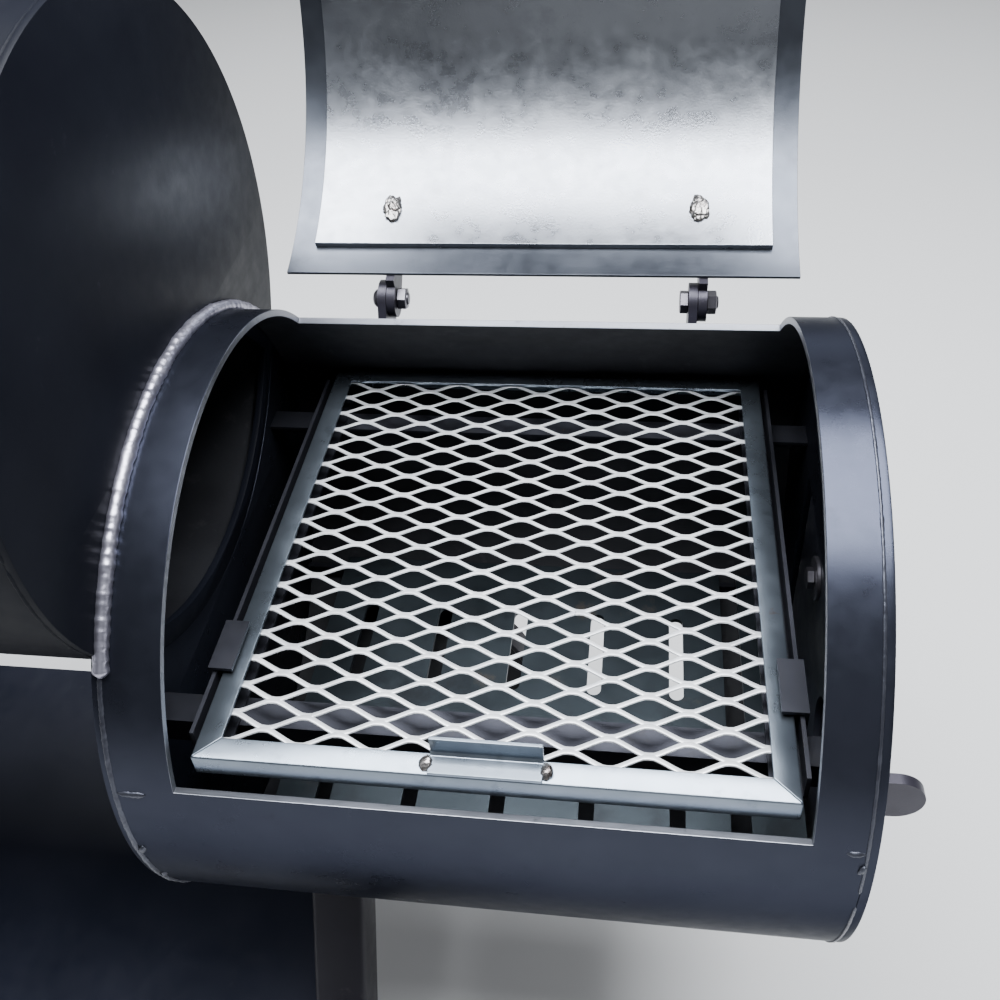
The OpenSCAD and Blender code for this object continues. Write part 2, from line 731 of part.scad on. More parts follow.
// Paddle over the air port, turning on the bolt
module side_door_damper() color("#20232c") at_firebox() difference() {
    damper_x = side_x + wall + side_play;
    neck = 14;
    reach = air_port - side_bolt;
    dir = reach / norm(reach);
    side = [-dir[1], dir[0]];
    union() {
        translate([0, side_bolt[0], side_bolt[1]]) rod_x(damper_x, damper_t, 18);
        translate([0, air_port[0], air_port[1]]) rod_x(damper_x, damper_t, air_r + 9);
        along_x(damper_x, damper_t) polygon([side_bolt + side * neck, air_port + side * neck,
            air_port - side * neck, side_bolt - side * neck]);
    }
    translate([0, side_bolt[0], side_bolt[1]]) rod_x(side_x, 4 * wall, side_bolt_r + 0.07);
}

// ---- ash door ----

barrel_r = 6;
barrel_len = 30;
ash_rod_r = 3;
ash_lap = 10;
module ash_door() color("#232631") at_firebox()
    translate(ash_pivot) rotate([-ash_open, 0, 0]) translate(-ash_pivot) difference() {
        union() {
            curved_plate(ash_x0 - ash_lap, ash_x1 + ash_lap, flash_in, flash_out,
                ash_pivot_a + 1, ash_a1 + 4);
            for (x = [ash_x0 + 36, ash_x1 - 66]) {
                curved_plate(x, x + barrel_len, flash_in, flash_out, ash_pivot_a, ash_pivot_a + 3);
                translate(ash_pivot) rod_x(x, barrel_len, barrel_r);
            }
        }
        translate(ash_pivot) rod_x(ash_x0 - 20, ash_x1 - ash_x0 + 40, ash_rod_r + 0.06);
    }

// Rod and welded barrels that the ash door hangs from
module ash_hinge() color("#20232c") at_firebox() {
    translate(ash_pivot) rod_x(ash_x0 + 2, ash_x1 - ash_x0 - 4, ash_rod_r);
    difference() {
        for (x = [ash_x0 + 5, ash_x1 - 35]) {
            translate(ash_pivot) rod_x(x, barrel_len, barrel_r);
            along_x(x, barrel_len)
                polygon([[ash_pivot[1] - 5, ash_pivot[2]], [ash_pivot[1] + 1, ash_pivot[2]],
                    [ash_pivot[1] + 1, ash_pivot[2] + 9], [ash_pivot[1] - 9, ash_pivot[2] + 9]]);
        }
        rod_x(ash_x0, ash_x1 - ash_x0, ro);
    }
}

// ---- stand ----

// A square tube from a pipe's axis down to the floor, leaning by a towards side
module splayed_leg(x, z, side, a, foot_z) difference() {
    len = 1.3 * z;
    bore = leg_w - 2 * tube_t;
    translate([x, 0, z]) rotate([side * a, 0, 0]) translate([-leg_w / 2, -leg_w / 2, -len])
        difference() {
            cube([leg_w, leg_w, len]);
            translate([tube_t, tube_t, -cut]) cube([bore, bore, len + 2 * cut]);
        }
    translate([0, 0, z]) rod_x(x - leg_w, 2 * leg_w, ro);
    box([x - leg_w, -2 * ro, z], [x + leg_w, 2 * ro, 2 * z]);
    box([x - leg_w, -4 * ro, -z], [x + leg_w, 4 * ro, foot_z]);
}

// Cross bar between a pair of legs, which carries the shelf
shelf_t = 3;
module leg_tie(x, half) translate([x, 0, shelf_z - shelf_t])
    box([0, -half, -angle_w], [angle_t, half, 0]);

module firebox_legs() color("#1a1820") at_floor() {
    difference() {
        for (s = [-1, 1]) splayed_leg(fire_leg_x, firebox_z, s, leg_splay, wheel_r - 30);
        translate([fire_leg_x, 0, wheel_r]) rod_y(-2 * ro, 4 * ro, axle_r);
    }
    leg_tie(fire_leg_x - leg_w / 2 - angle_t + 1, (firebox_z - shelf_z) * tan(leg_splay) + 20);
}

pad_half = 40;
pad_t = 6;
module chamber_legs() color("#1a1820") at_floor() translate([0, chamber_back, 0]) {
    foot_y = chamber_z * tan(left_splay);
    for (s = [-1, 1]) splayed_leg(cook_leg_x, chamber_z, s, left_splay, pad_t - 2);
    for (s = [-1, 1]) translate([cook_leg_x, s * foot_y, 0])
        box([-pad_half, -pad_half, 0], [pad_half, pad_half, pad_t]);
    leg_tie(cook_leg_x + leg_w / 2 - 1, (chamber_z - shelf_z) * tan(left_splay) + 20);
}

// Sheet on the leg ties, notched round the chamber legs
shelf_half = 250;
notch_half = 34;
module shelf() color("#141824") at_floor() difference() {
    box([cook_leg_x - leg_w / 2, -shelf_half, shelf_z - shelf_t],
        [fire_leg_x - leg_w / 2 - 0.5, shelf_half, shelf_z]);
    for (s = [-1, 1])
        translate([cook_leg_x, chamber_back + s * (chamber_z - shelf_z) * tan(left_splay), shelf_z])
            box([-leg_w, -notch_half, -2 * shelf_t], [leg_w / 2 + 1, notch_half, shelf_t]);
}

// Stub axle through each firebox leg, with a head inside and a collar outside the wheel
collar_t = 12;
stub_in = 254;
head_t = 8;
module axle() color("#555a63") at_floor() translate([fire_leg_x, 0, wheel_r])
    for (s = [0, 1]) mirror([0, s, 0]) {
        rod_y(stub_in, axle_end - collar_t / 2 - stub_in, axle_r);
        rod_y(stub_in - head_t, head_t, 15);
        rod_y(axle_end - collar_t, collar_t, 16);
    }

// Steel wheel: rim, web and hub
rim_t = 8;
web_t = 6;
hub_t = 14;
module wheel(side) at_floor() translate([fire_leg_x, 0, wheel_r]) mirror([0, side < 0 ? 1 : 0, 0])
    translate([0, wheel_gap, 0]) rotate([-90, 0, 0]) rotate_extrude() {
        translate([wheel_r - rim_t, 0]) square([rim_t, wheel_w]);
        translate([2 * axle_r, wheel_w / 2 - web_t / 2]) square([wheel_r - 24, web_t]);
        translate([axle_r + 0.07, 0]) square([hub_t, wheel_w]);
    }

module wheels_front() color("#1c1e25") wheel(-1);

module wheels_back() color("#1c1e25") wheel(1);

chamber_shell();
chamber_firebox_end_plate();
chamber_stack_end_plate();
chamber_grate_rails();
cooking_grate_frames();
cooking_grate_meshes();
heat_baffle();
chamber_hinge_ears();
chamber_hinge_bolts();
chamber_hinge_nuts();
chamber_door_plate();
chamber_door_flashing();
chamber_door_hinge_arms();
chamber_door_handle_posts();
chamber_door_handle_grip();
tow_handle();
thermometer_case();
thermometer_dial();
thermometer_needle();
firebox_shell();
firebox_closing_plate();
firebox_end_plate();
firebox_weld_bead();
firebox_cross_members();
grate_rails();
grate_clips();
fire_plate();
lid_hinge_ears();
lid_hinge_bolts();
lid_hinge_nuts();
firebox_lid_plate();
firebox_lid_flashing();
firebox_lid_hinge_arms();
firebox_lid_plug_welds();
firebox_lid_handle_posts();
firebox_lid_handle_grip();
grate_frame();
grate_mesh();
grate_handle();
side_door_plate();
side_door_knuckles();
side_door_pull();
side_door_bolt();
side_door_washer();
side_door_damper();
side_hinge_leaves();
side_hinge_pins();
ash_door();
ash_hinge();
smoke_stack();
stack_cap();
stack_cap_bolt();
drain_pipe();
drain_valve_lever();
firebox_legs();
chamber_legs();
shelf();
axle();
wheels_front();
wheels_back();
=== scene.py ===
import bmesh, bpy, json, math
from mathutils import Matrix, Vector, noise


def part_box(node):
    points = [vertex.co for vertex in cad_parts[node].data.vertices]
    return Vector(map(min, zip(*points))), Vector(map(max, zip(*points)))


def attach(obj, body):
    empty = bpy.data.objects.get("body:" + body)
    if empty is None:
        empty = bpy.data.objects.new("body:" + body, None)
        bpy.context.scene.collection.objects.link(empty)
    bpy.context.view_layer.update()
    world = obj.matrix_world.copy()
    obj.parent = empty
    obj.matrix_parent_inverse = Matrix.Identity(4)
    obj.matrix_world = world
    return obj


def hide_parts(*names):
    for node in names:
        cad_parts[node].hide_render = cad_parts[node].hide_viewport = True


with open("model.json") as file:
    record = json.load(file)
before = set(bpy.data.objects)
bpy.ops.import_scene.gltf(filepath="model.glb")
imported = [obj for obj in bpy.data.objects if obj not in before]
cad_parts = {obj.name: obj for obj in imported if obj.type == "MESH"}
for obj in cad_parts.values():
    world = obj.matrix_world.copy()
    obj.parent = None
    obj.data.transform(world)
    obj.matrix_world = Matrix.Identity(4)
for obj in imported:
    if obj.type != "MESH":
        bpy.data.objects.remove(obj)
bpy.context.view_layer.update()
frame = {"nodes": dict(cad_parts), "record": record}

# ---- the frame's sizes; shapes are drawn in millimetres and placed by a matrix ----

MM = 0.001
SCENE = bpy.context.scene
BODY_OF = {n: body for body, names in frame["record"]["behaviour"]["bodies"].items() for n in names}


def span(node, axis):
    low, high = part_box(node)
    return low[axis], high[axis]


disc_y, disc_z = span("chamber_stack_end_plate", 1), span("chamber_stack_end_plate", 2)
fire_x, fire_y, fire_z = (span("firebox_shell", i) for i in range(3))
RO = (disc_y[1] - disc_y[0]) / 2 / MM
plate_x = span("chamber_stack_end_plate", 0)
WALL = (plate_x[1] - plate_x[0]) / MM
RI = RO - WALL
WELD_X = fire_x[0]
FIRE_Y, FIRE_Z = sum(fire_y) / 2, fire_z[0] + RO * MM
CHAMBER_Y, CHAMBER_Z = sum(disc_y) / 2, sum(disc_z) / 2
CHAMBER_LEN = (WELD_X - plate_x[1]) / MM - WALL
SHELL_LEN = (fire_x[1] - fire_x[0]) / MM
BACK, RISE = (CHAMBER_Y - FIRE_Y) / MM, (CHAMBER_Z - FIRE_Z) / MM

FIRE = Matrix.Translation((WELD_X, FIRE_Y, FIRE_Z)) @ Matrix.Scale(MM, 4)
CHAMBER = Matrix.Translation((WELD_X, CHAMBER_Y, CHAMBER_Z)) @ Matrix.Scale(MM, 4)
STAND = Matrix.Translation((WELD_X, FIRE_Y, 0)) @ Matrix.Scale(MM, 4)

# Openings, lids and their laps, as the CAD has them
FIRE_OPEN = (45, SHELL_LEN + WALL - 42, 43, 167.5)
COOK_OPEN = (-WALL - CHAMBER_LEN + 190, -WALL - 70, 68, 186)
ASH_OPEN = (204, 442, -75, -51)
ASH_HINGE_A, ASH_HANG = -80.5, 102
LAP, GAP, SLIP, STRIP_T = 19, 4.5, 0.35, 3.2
PLAY_A, LAP_A = 0.9, 6.3
SKIN = RO + SLIP
PIVOT_R, PIVOT_LAG = 284.7, 7.3
LID_REST = 111.3
HINGE_X = (123.5, 417)
DOOR_HINGE_X = (-620, -190)
EAR_FACE, ARM_FACE = -8.3, 8.6
LID_GRIP_A, DOOR_GRIP_A, DIAL_A = 157, 176, 138

# Side door: left, right and top edge of its opening and the radius below, then its lap and fittings
SIDE_OPEN = (-185, 140, 40, 234)
SIDE_LAP = 15
AIR_PORT, AIR_R = (-62, -92), 38
SIDE_BOLT, SIDE_BOLT_R, WASHER_T = (55, -12), 5, 4

# Stand
LEG_HALF, LEG_WALL = 25.5, 3
FIRE_LEAN, COOK_LEAN = 27.5, 20.3
AXLE_R, STUB_IN = 10, 254
PAD_HALF, PAD_T = 40, 6


def about_x(y, z, degrees):
    turn = Matrix.Rotation(math.radians(degrees), 4, "X")
    return Matrix.Translation((0, y, z)) @ turn @ Matrix.Translation((0, -y, -z))


def polar(r, degrees):
    return r * math.cos(math.radians(degrees)), r * math.sin(math.radians(degrees))


LID_PIVOT = polar(PIVOT_R, FIRE_OPEN[2] - PIVOT_LAG)
DOOR_PIVOT = polar(PIVOT_R, COOK_OPEN[2] - PIVOT_LAG)
LID = FIRE @ about_x(*LID_PIVOT, -LID_REST)

# ---- mesh tools ----


def arc(a0, a1, step=2.0):
    count = max(1, round(abs(a1 - a0) / step))
    return [a0 + (a1 - a0) * i / count for i in range(count + 1)]


def joined(*lists):
    values = list(lists[0])
    for more in lists[1:]:
        values += more[1:]
    return values


def add(bm, corners, faces, mat=0):
    verts = [bm.verts.new(c) for c in corners]
    for f in faces:
        bm.faces.new([verts[i] for i in f]).material_index = mat
    return verts


def box(bm, low, high):
    corners = [(x, y, z) for x in (low[0], high[0]) for y in (low[1], high[1]) for z in (low[2], high[2])]
    add(bm, corners, [(0, 1, 3, 2), (4, 6, 7, 5), (0, 4, 5, 1), (2, 3, 7, 6), (0, 2, 6, 4), (1, 5, 7, 3)])


def basis(axis):
    axis = Vector(axis).normalized()
    side = axis.orthogonal().normalized() if abs(axis.x) < 0.9 else Vector((0, 1, 0))
    side = (side - axis * side.dot(axis)).normalized()
    return axis, side, axis.cross(side)


def lathe(bm, profile, origin, axis, segments=48, phase=0.0):
    """Turns a list of (radius, height) about an axis; it starts and ends on the axis or closes on itself."""
    axis, side, up = basis(axis)
    rings = []
    for r, h in profile:
        centre = Vector(origin) + axis * h
        if r < 1e-6:
            rings.append([bm.verts.new(centre)])
            continue
        turns = [2 * math.pi * (k + phase) / segments for k in range(segments)]
        rings.append([bm.verts.new(centre + (side * math.cos(t) + up * math.sin(t)) * r) for t in turns])
    if len(rings[0]) > 1:
        rings.append(rings[0])
    for a, b in zip(rings, rings[1:]):
        for k in range(segments):
            corners = [a[k % len(a)], a[(k + 1) % len(a)], b[(k + 1) % len(b)], b[k % len(b)]]
            corners = list(dict.fromkeys(corners))
            if len(corners) > 2:
                bm.faces.new(corners)


def rod(bm, start, end, r, chamfer=0.8, segments=40):
    start, end = Vector(start), Vector(end)
    h = (end - start).length
    c = chamfer
    lathe(bm, [(0, 0), (r - c, 0), (r, c), (r, h - c), (r - c, h), (0, h)], start, end - start, segments)


def tube(bm, start, end, outer, inner, soft=0.8, segments=64):
    start, end = Vector(start), Vector(end)
    h = (end - start).length
    profile = [(inner, soft), (inner + soft, 0), (outer - soft, 0), (outer, soft),
               (outer, h - soft), (outer - soft, h), (inner + soft, h), (inner, h - soft)]
    lathe(bm, profile, start, end - start, segments)


def hexagon(bm, origin, axis, across, height, phase=0.0):
    r = across / 2 / math.cos(math.pi / 6)
    c = 1.3
    lathe(bm, [(0, 0), (r - c, 0), (r, c * 0.6), (r, height - c * 0.6), (r - c, height), (0, height)],
          origin, axis, 6, phase)


def sweep(bm, points, radii, segments, squash=1.0):
    """A closed tube along points, whose section may be flattened."""
    points = [Vector(p) for p in points]
    rings = []
    side = None
    for i, p in enumerate(points):
        along = (points[min(i + 1, len(points) - 1)] - points[max(i - 1, 0)]).normalized()
        if side is None:
            side = along.orthogonal().normalized()
        side = (side - along * side.dot(along)).normalized()
        up = along.cross(side)
        r = radii(i) if callable(radii) else radii
        turns = [2 * math.pi * k / segments for k in range(segments)]
        rings.append([bm.verts.new(p + side * math.cos(t) * r + up * math.sin(t) * r * squash) for t in turns])
    for a, b in zip(rings, rings[1:]):
        for k in range(segments):
            n = (k + 1) % segments
            bm.faces.new((a[k], a[n], b[n], b[k]))
    bm.faces.new(rings[0][::-1])
    bm.faces.new(rings[-1])
    return [v for ring in rings for v in ring]


def sheet(bm, xs, degrees, inner, outer, hole=None, mats=(0, 0, 0)):
    """Rolled plate on the X axis: a grid of cells with an outer face, an inner face and rims."""
    full = abs(degrees[-1] - degrees[0] - 360) < 1e-6
    columns = len(degrees) - 1
    corners = {}

    def corner(i, j, layer):
        key = (i, j % columns if full else j, layer)
        if key not in corners:
            y, z = polar((inner, outer)[layer], degrees[key[1]])
            corners[key] = bm.verts.new((xs[i], y, z))
        return corners[key]

    def solid(i, j):
        if full:
            j %= columns
        if not (0 <= i < len(xs) - 1 and 0 <= j < columns):
            return False
        x, a = (xs[i] + xs[i + 1]) / 2, (degrees[j] + degrees[j + 1]) / 2
        return hole is None or not any(h[0] < x < h[1] and h[2] < a < h[3] for h in hole)

    for i in range(len(xs) - 1):
        for j in range(columns):
            if not solid(i, j):
                continue
            ring = [(i, j), (i, j + 1), (i + 1, j + 1), (i + 1, j)]
            bm.faces.new([corner(*c, 1) for c in ring]).material_index = mats[0]
            bm.faces.new([corner(*c, 0) for c in ring[::-1]]).material_index = mats[1]
            beyond = [(i - 1, j), (i, j + 1), (i + 1, j), (i, j - 1)]
            for k, cell in enumerate(beyond):
                if not solid(*cell):
                    a, b = ring[k], ring[(k + 1) % 4]
                    quad = [corner(*a, 0), corner(*b, 0), corner(*b, 1), corner(*a, 1)]
                    bm.faces.new(quad).material_index = mats[2]


def lines(start, end, *cuts, step=60):
    marks = sorted([start, end, *cuts])
    return joined(*[arc(a, b, step) for a, b in zip(marks, marks[1:])])


ACROSS_X = Matrix(((0, 0, 1, 0), (1, 0, 0, 0), (0, 1, 0, 0), (0, 0, 0, 1)))


def plate(bm, loops, middle, thick, edge=0.6):
    """Flat plate with holes: outlines in the plane across the X axis, cut with softened edges."""
    curve = bpy.data.curves.new("outline", "CURVE")
    curve.dimensions, curve.fill_mode = "2D", "BOTH"
    curve.extrude, curve.bevel_depth, curve.offset = thick / 2 - edge, edge, -edge
    curve.bevel_resolution = 1
    for loop in loops:
        spline = curve.splines.new("POLY")
        spline.points.add(len(loop) - 1)
        for point, (u, v) in zip(spline.points, loop):
            point.co = (u, v, 0, 1)
        spline.use_cyclic_u = True
    holder = bpy.data.objects.new("outline", curve)
    SCENE.collection.objects.link(holder)
    made = bpy.data.meshes.new_from_object(holder.evaluated_get(bpy.context.evaluated_depsgraph_get()))
    made.transform(Matrix.Translation((middle, 0, 0)) @ ACROSS_X)
    made.materials.clear()
    bm.from_mesh(made)
    bpy.data.objects.remove(holder)
    bpy.data.curves.remove(curve)
    bpy.data.meshes.remove(made)
    bmesh.ops.remove_doubles(bm, verts=bm.verts[:], dist=0.01)


def ring_points(r, centre=(0, 0), a0=0, a1=360, step=2):
    count = round(abs(a1 - a0) / step)
    last = count if abs(a1 - a0) < 359 else count - 1
    turns = [a0 + (a1 - a0) * i / count for i in range(last + 1)]
    return [(centre[0] + polar(r, t)[0], centre[1] + polar(r, t)[1]) for t in turns]


def piece(name, bm, place, mats, node, edge=0.0, angle=38, replace=True):
    """Makes the mesh a piece with its materials, on the body of a CAD node, and hides that node unless replace
    is false.
    """
    bmesh.ops.recalc_face_normals(bm, faces=bm.faces[:])
    bm.transform(place)
    mesh = bpy.data.meshes.new(name)
    bm.to_mesh(mesh)
    bm.free()
    for mat in mats:
        mesh.materials.append(mat)
    for face in mesh.polygons:
        face.use_smooth = True
    mesh.set_sharp_from_angle(angle=math.radians(angle))
    obj = bpy.data.objects.new(name, mesh)
    SCENE.collection.objects.link(obj)
    if edge:
        soften(obj, edge)
    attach(obj, BODY_OF[node])
    if replace:
        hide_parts(node)
    return obj


def soften(obj, edge):
    bevel = obj.modifiers.new("edge", "BEVEL")
    bevel.width, bevel.segments = edge * MM, 2
    bevel.limit_method, bevel.angle_limit = "ANGLE", math.radians(40)
    bevel.harden_normals = True


def keep(node, mat, edge=0.0):
    """A CAD node whose shape is right: it gets its material and softened edges."""
    obj = frame["nodes"][node]
    obj.data.materials.clear()
    obj.data.materials.append(mat)
    for face in obj.data.polygons:
        face.use_smooth = True
    obj.data.set_sharp_from_angle(angle=math.radians(35))
    if edge:
        soften(obj, edge)


def weld(bm, points, radius, seed, squash, lump, ripple):
    """A weld bead: overlapping ripples with uneven lumps along a path."""
    points = [Vector(p) for p in points]
    length = sum((b - a).length for a, b in zip(points, points[1:]))
    count = max(6, int(length / 1.3))
    walk, k, done = [], 0, 0.0
    for i in range(count + 1):
        want = length * i / count
        while k < len(points) - 2 and done + (points[k + 1] - points[k]).length < want:
            done += (points[k + 1] - points[k]).length
            k += 1
        step = points[k + 1] - points[k]
        walk.append(points[k] + step * ((want - done) / step.length))

    def size(i):
        s = length * i / count
        wave = abs(math.sin(math.pi * (s / ripple + 0.35 * noise.noise(Vector((s * 0.05, seed, 0))))))
        swell = noise.noise(Vector((s * 0.09, seed * 3.1, 1.7)))
        end = min(1.0, (min(i, count - i) + 1.5) / 4)
        return radius * end * (1 - 0.08 * wave + lump * swell)

    made = sweep(bm, walk, size, 14, squash)
    for v in made:
        n = noise.noise_vector(v.co * 0.35 + Vector((seed, 0, 0)))
        v.co += n * radius * lump * 0.7


# ---- materials ----


def node(tree, kind, inputs=None, **settings):
    made = tree.nodes.new(kind)
    for key, value in settings.items():
        setattr(made, key, value)
    for socket, value in (inputs or {}).items():
        if isinstance(value, bpy.types.NodeSocket):
            tree.links.new(value, made.inputs[socket])
        else:
            made.inputs[socket].default_value = value
    return made


def blotch(tree, where, scale, low=0.35, high=0.65, detail=4.0, rough=0.55, stretch=None):
    """Noise between two thresholds, as a value from 0 to 1."""
    if stretch:
        where = node(tree, "ShaderNodeMapping", {"Vector": where, "Scale": stretch}).outputs[0]
    field = node(tree, "ShaderNodeTexNoise",
                 {"Vector": where, "Scale": scale, "Detail": detail, "Roughness": rough})
    ramp = node(tree, "ShaderNodeMapRange", {"Value": field.outputs["Fac"], "From Min": low, "From Max": high})
    return ramp.outputs[0]


def mix(tree, factor, a, b):
    made = node(tree, "ShaderNodeMix", data_type="RGBA")
    for socket, value in zip((0, 6, 7), (factor, a, b)):
        if isinstance(value, bpy.types.NodeSocket):
            tree.links.new(value, made.inputs[socket])
        else:
            made.inputs[socket].default_value = (*value, 1) if isinstance(value, tuple) else value
    return made.outputs[2]


def steel(name, colour, other, metallic, rough, layers=(), grain=(900, 0.02), sway=0.08, coat=0.0,
          specular=0.5, edge=1.0, stretch=None, broad=7):
    """Steel or paint: two tones in broad patches, further tints as layers, uneven gloss and a fine grain.
    A layer is (colour, noise scale, threshold, strength)."""
    mat = bpy.data.materials.new(name)
    mat.use_nodes = True
    tree = mat.node_tree
    shader = tree.nodes["Principled BSDF"]
    where = node(tree, "ShaderNodeTexCoord").outputs["Object"]
    patches = blotch(tree, where, broad, 0.3, 0.7, stretch=stretch)
    tone = mix(tree, patches, colour, other)
    for tint, scale, threshold, strength in layers:
        spots = blotch(tree, where, scale, threshold, threshold + 0.12, 6.0, 0.65)
        amount = node(tree, "ShaderNodeMath", {0: spots, 1: strength}, operation="MULTIPLY").outputs[0]
        tone = mix(tree, amount, tone, tint)
    tree.links.new(tone, shader.inputs["Base Color"])
    shader.inputs["Metallic"].default_value = metallic
    shader.inputs["Specular IOR Level"].default_value = specular
    shader.inputs["Specular Tint"].default_value = (edge, edge, edge, 1)
    if coat:
        shader.inputs["Coat Weight"].default_value = coat
        shader.inputs["Coat Roughness"].default_value = 0.2
    fine = blotch(tree, where, broad * 9, 0.3, 0.7, 5.0, stretch=stretch)
    both = node(tree, "ShaderNodeMath", {0: patches, 1: fine}, operation="ADD").outputs[0]
    gloss = node(tree, "ShaderNodeMapRange", {"Value": both, "From Max": 2.0, "To Min": rough - sway,
                                              "To Max": rough + sway})
    tree.links.new(gloss.outputs[0], shader.inputs["Roughness"])
    grain_field = node(tree, "ShaderNodeTexNoise", {"Vector": where, "Scale": grain[0], "Detail": 3.0})
    bump = node(tree, "ShaderNodeBump", {"Height": grain_field.outputs["Fac"], "Distance": grain[1] * MM,
                                         "Strength": 1.0})
    tree.links.new(bump.outputs[0], shader.inputs["Normal"])
    return mat


RUST = (0.23, 0.09, 0.035)
STRAW = (0.42, 0.3, 0.14)
chamber_paint = steel("chamber_paint", (0.004, 0.0045, 0.0075), (0.007, 0.008, 0.012), 0.0, 0.45,
                      [((0.03, 0.03, 0.04), 60, 0.66, 0.4)], (700, 0.03), specular=0.06)
firebox_paint = steel("firebox_paint", (0.029, 0.032, 0.046), (0.039, 0.043, 0.059), 0.85, 0.31,
                      [((0.016, 0.016, 0.02), 30, 0.6, 0.25), ((0.08, 0.08, 0.1), 140, 0.68, 0.35)],
                      (800, 0.03), specular=0.3, edge=0.35)
door_paint = steel("door_paint", (0.014, 0.015, 0.022), (0.022, 0.024, 0.034), 0.3, 0.38,
                   [((0.05, 0.05, 0.06), 60, 0.66, 0.5)], (700, 0.03), specular=0.4)
stand_paint = steel("stand_paint", (0.007, 0.0065, 0.010), (0.013, 0.012, 0.018), 0.2, 0.42,
                    [((0.04, 0.036, 0.04), 80, 0.64, 0.4)], (600, 0.03), specular=0.15)
shelf_paint = steel("shelf_paint", (0.007, 0.009, 0.018), (0.012, 0.014, 0.026), 0.0, 0.4,
                    [((0.04, 0.04, 0.05), 40, 0.66, 0.4)], (600, 0.02), specular=0.3)
# painted shade: a near-black tone on the inner faces of the shells and the chamber door, on the baffle and on
# the chamber's rails, standing in for the shade inside them
painted_interior_shade = steel("painted_interior_shade", (0.008, 0.008, 0.010), (0.02, 0.021, 0.025), 0.3, 0.55,
               [((0.05, 0.05, 0.055), 40, 0.6, 0.4)], (400, 0.08), specular=0.3)
cut_steel = steel("cut_steel", (0.17, 0.175, 0.2), (0.25, 0.26, 0.29), 0.9, 0.36,
                  [((0.05, 0.05, 0.06), 60, 0.6, 0.8)], (1200, 0.04), stretch=(1, 8, 8))
hinge_steel = steel("hinge_steel", (0.024, 0.022, 0.032), (0.042, 0.039, 0.052), 0.6, 0.42,
                    [((0.14, 0.13, 0.15), 150, 0.64, 0.5)], (700, 0.05))
fastener = steel("fastener", (0.09, 0.085, 0.10), (0.16, 0.155, 0.175), 0.85, 0.34,
                 [((0.02, 0.02, 0.024), 180, 0.58, 0.8)], (900, 0.03), broad=40)
lid_steel = steel("lid_steel", (0.27, 0.285, 0.32), (0.36, 0.38, 0.415), 0.96, 0.3,
                  [((0.25, 0.26, 0.29), 22, 0.56, 0.5), ((0.16, 0.16, 0.17), 260, 0.64, 0.5),
                   (STRAW, 12, 0.68, 0.25)], (500, 0.09), 0.10)
strip_steel = steel("strip_steel", (0.065, 0.072, 0.088), (0.105, 0.115, 0.137), 0.9, 0.34,
                    [((0.07, 0.075, 0.09), 40, 0.58, 0.5)], (600, 0.05))
weld_steel = steel("weld_steel", (0.34, 0.33, 0.4), (0.5, 0.49, 0.57), 0.92, 0.36,
                   [((0.16, 0.15, 0.19), 70, 0.6, 0.5)], (400, 0.05), 0.06, broad=45)
plug_steel = steel("plug_steel", (0.17, 0.155, 0.15), (0.4, 0.385, 0.37), 0.95, 0.28,
                   [((0.07, 0.05, 0.045), 150, 0.52, 0.85)], (500, 0.3), 0.1, broad=110)
painted_weld = steel("painted_weld", (0.04, 0.042, 0.056), (0.075, 0.08, 0.1), 0.8, 0.38,
                     [((0.2, 0.2, 0.23), 90, 0.66, 0.5)], (500, 0.12), 0.06, broad=60)
frame_steel = steel("frame_steel", (0.15, 0.178, 0.212), (0.235, 0.272, 0.318), 0.92, 0.3,
                    [((0.075, 0.088, 0.11), 26, 0.58, 0.5), (RUST, 34, 0.68, 0.6), (STRAW, 16, 0.68, 0.35)],
                    (800, 0.05), 0.08)
mesh_steel = steel("mesh_steel", (0.74, 0.76, 0.79), (0.93, 0.94, 0.95), 0.55, 0.36,
                   [((0.45, 0.47, 0.5), 70, 0.6, 0.5), (STRAW, 18, 0.7, 0.3)], (900, 0.04), 0.1, broad=25)
bracket_steel = steel("bracket_steel", (0.02, 0.021, 0.027), (0.04, 0.041, 0.052), 0.8, 0.42,
                      [((0.03, 0.03, 0.034), 60, 0.56, 0.7), (RUST, 40, 0.7, 0.5)], (700, 0.05))
# fire plate: its own dark steel with brown scale, the tone darkened further as painted shade of the firebox's
# inside
fire_plate_steel = steel("fire_plate_steel", (0.02, 0.026, 0.031), (0.042, 0.053, 0.062), 0.8, 0.42,
                         [((0.02, 0.022, 0.026), 16, 0.55, 0.7), ((0.12, 0.09, 0.065), 20, 0.62, 0.5)],
                         (500, 0.08))
cooking_steel = steel("cooking_steel", (0.3, 0.31, 0.33), (0.46, 0.47, 0.5), 0.9, 0.36,
                      [((0.1, 0.09, 0.08), 30, 0.56, 0.6)], (800, 0.05))
bright_steel = steel("bright_steel", (0.5, 0.51, 0.53), (0.62, 0.63, 0.65), 1.0, 0.2,
                     [((0.3, 0.3, 0.32), 60, 0.6, 0.4)], (1500, 0.01), 0.06)
brass = steel("brass", (0.5, 0.33, 0.12), (0.66, 0.46, 0.2), 1.0, 0.3,
              [((0.2, 0.11, 0.04), 60, 0.58, 0.6)], (900, 0.03))
red_paint = steel("red_paint", (0.32, 0.012, 0.014), (0.42, 0.02, 0.02), 0.0, 0.3,
                  [((0.12, 0.01, 0.01), 60, 0.6, 0.5)], (900, 0.02), coat=0.4)
dial_paper = steel("dial_paper", (0.80, 0.80, 0.77), (0.86, 0.86, 0.84), 0.0, 0.35, [], (900, 0.01))
dial_ink = steel("dial_ink", (0.01, 0.01, 0.012), (0.02, 0.02, 0.024), 0.0, 0.5, [], (900, 0.01))

# ---- camera, light and floor ----

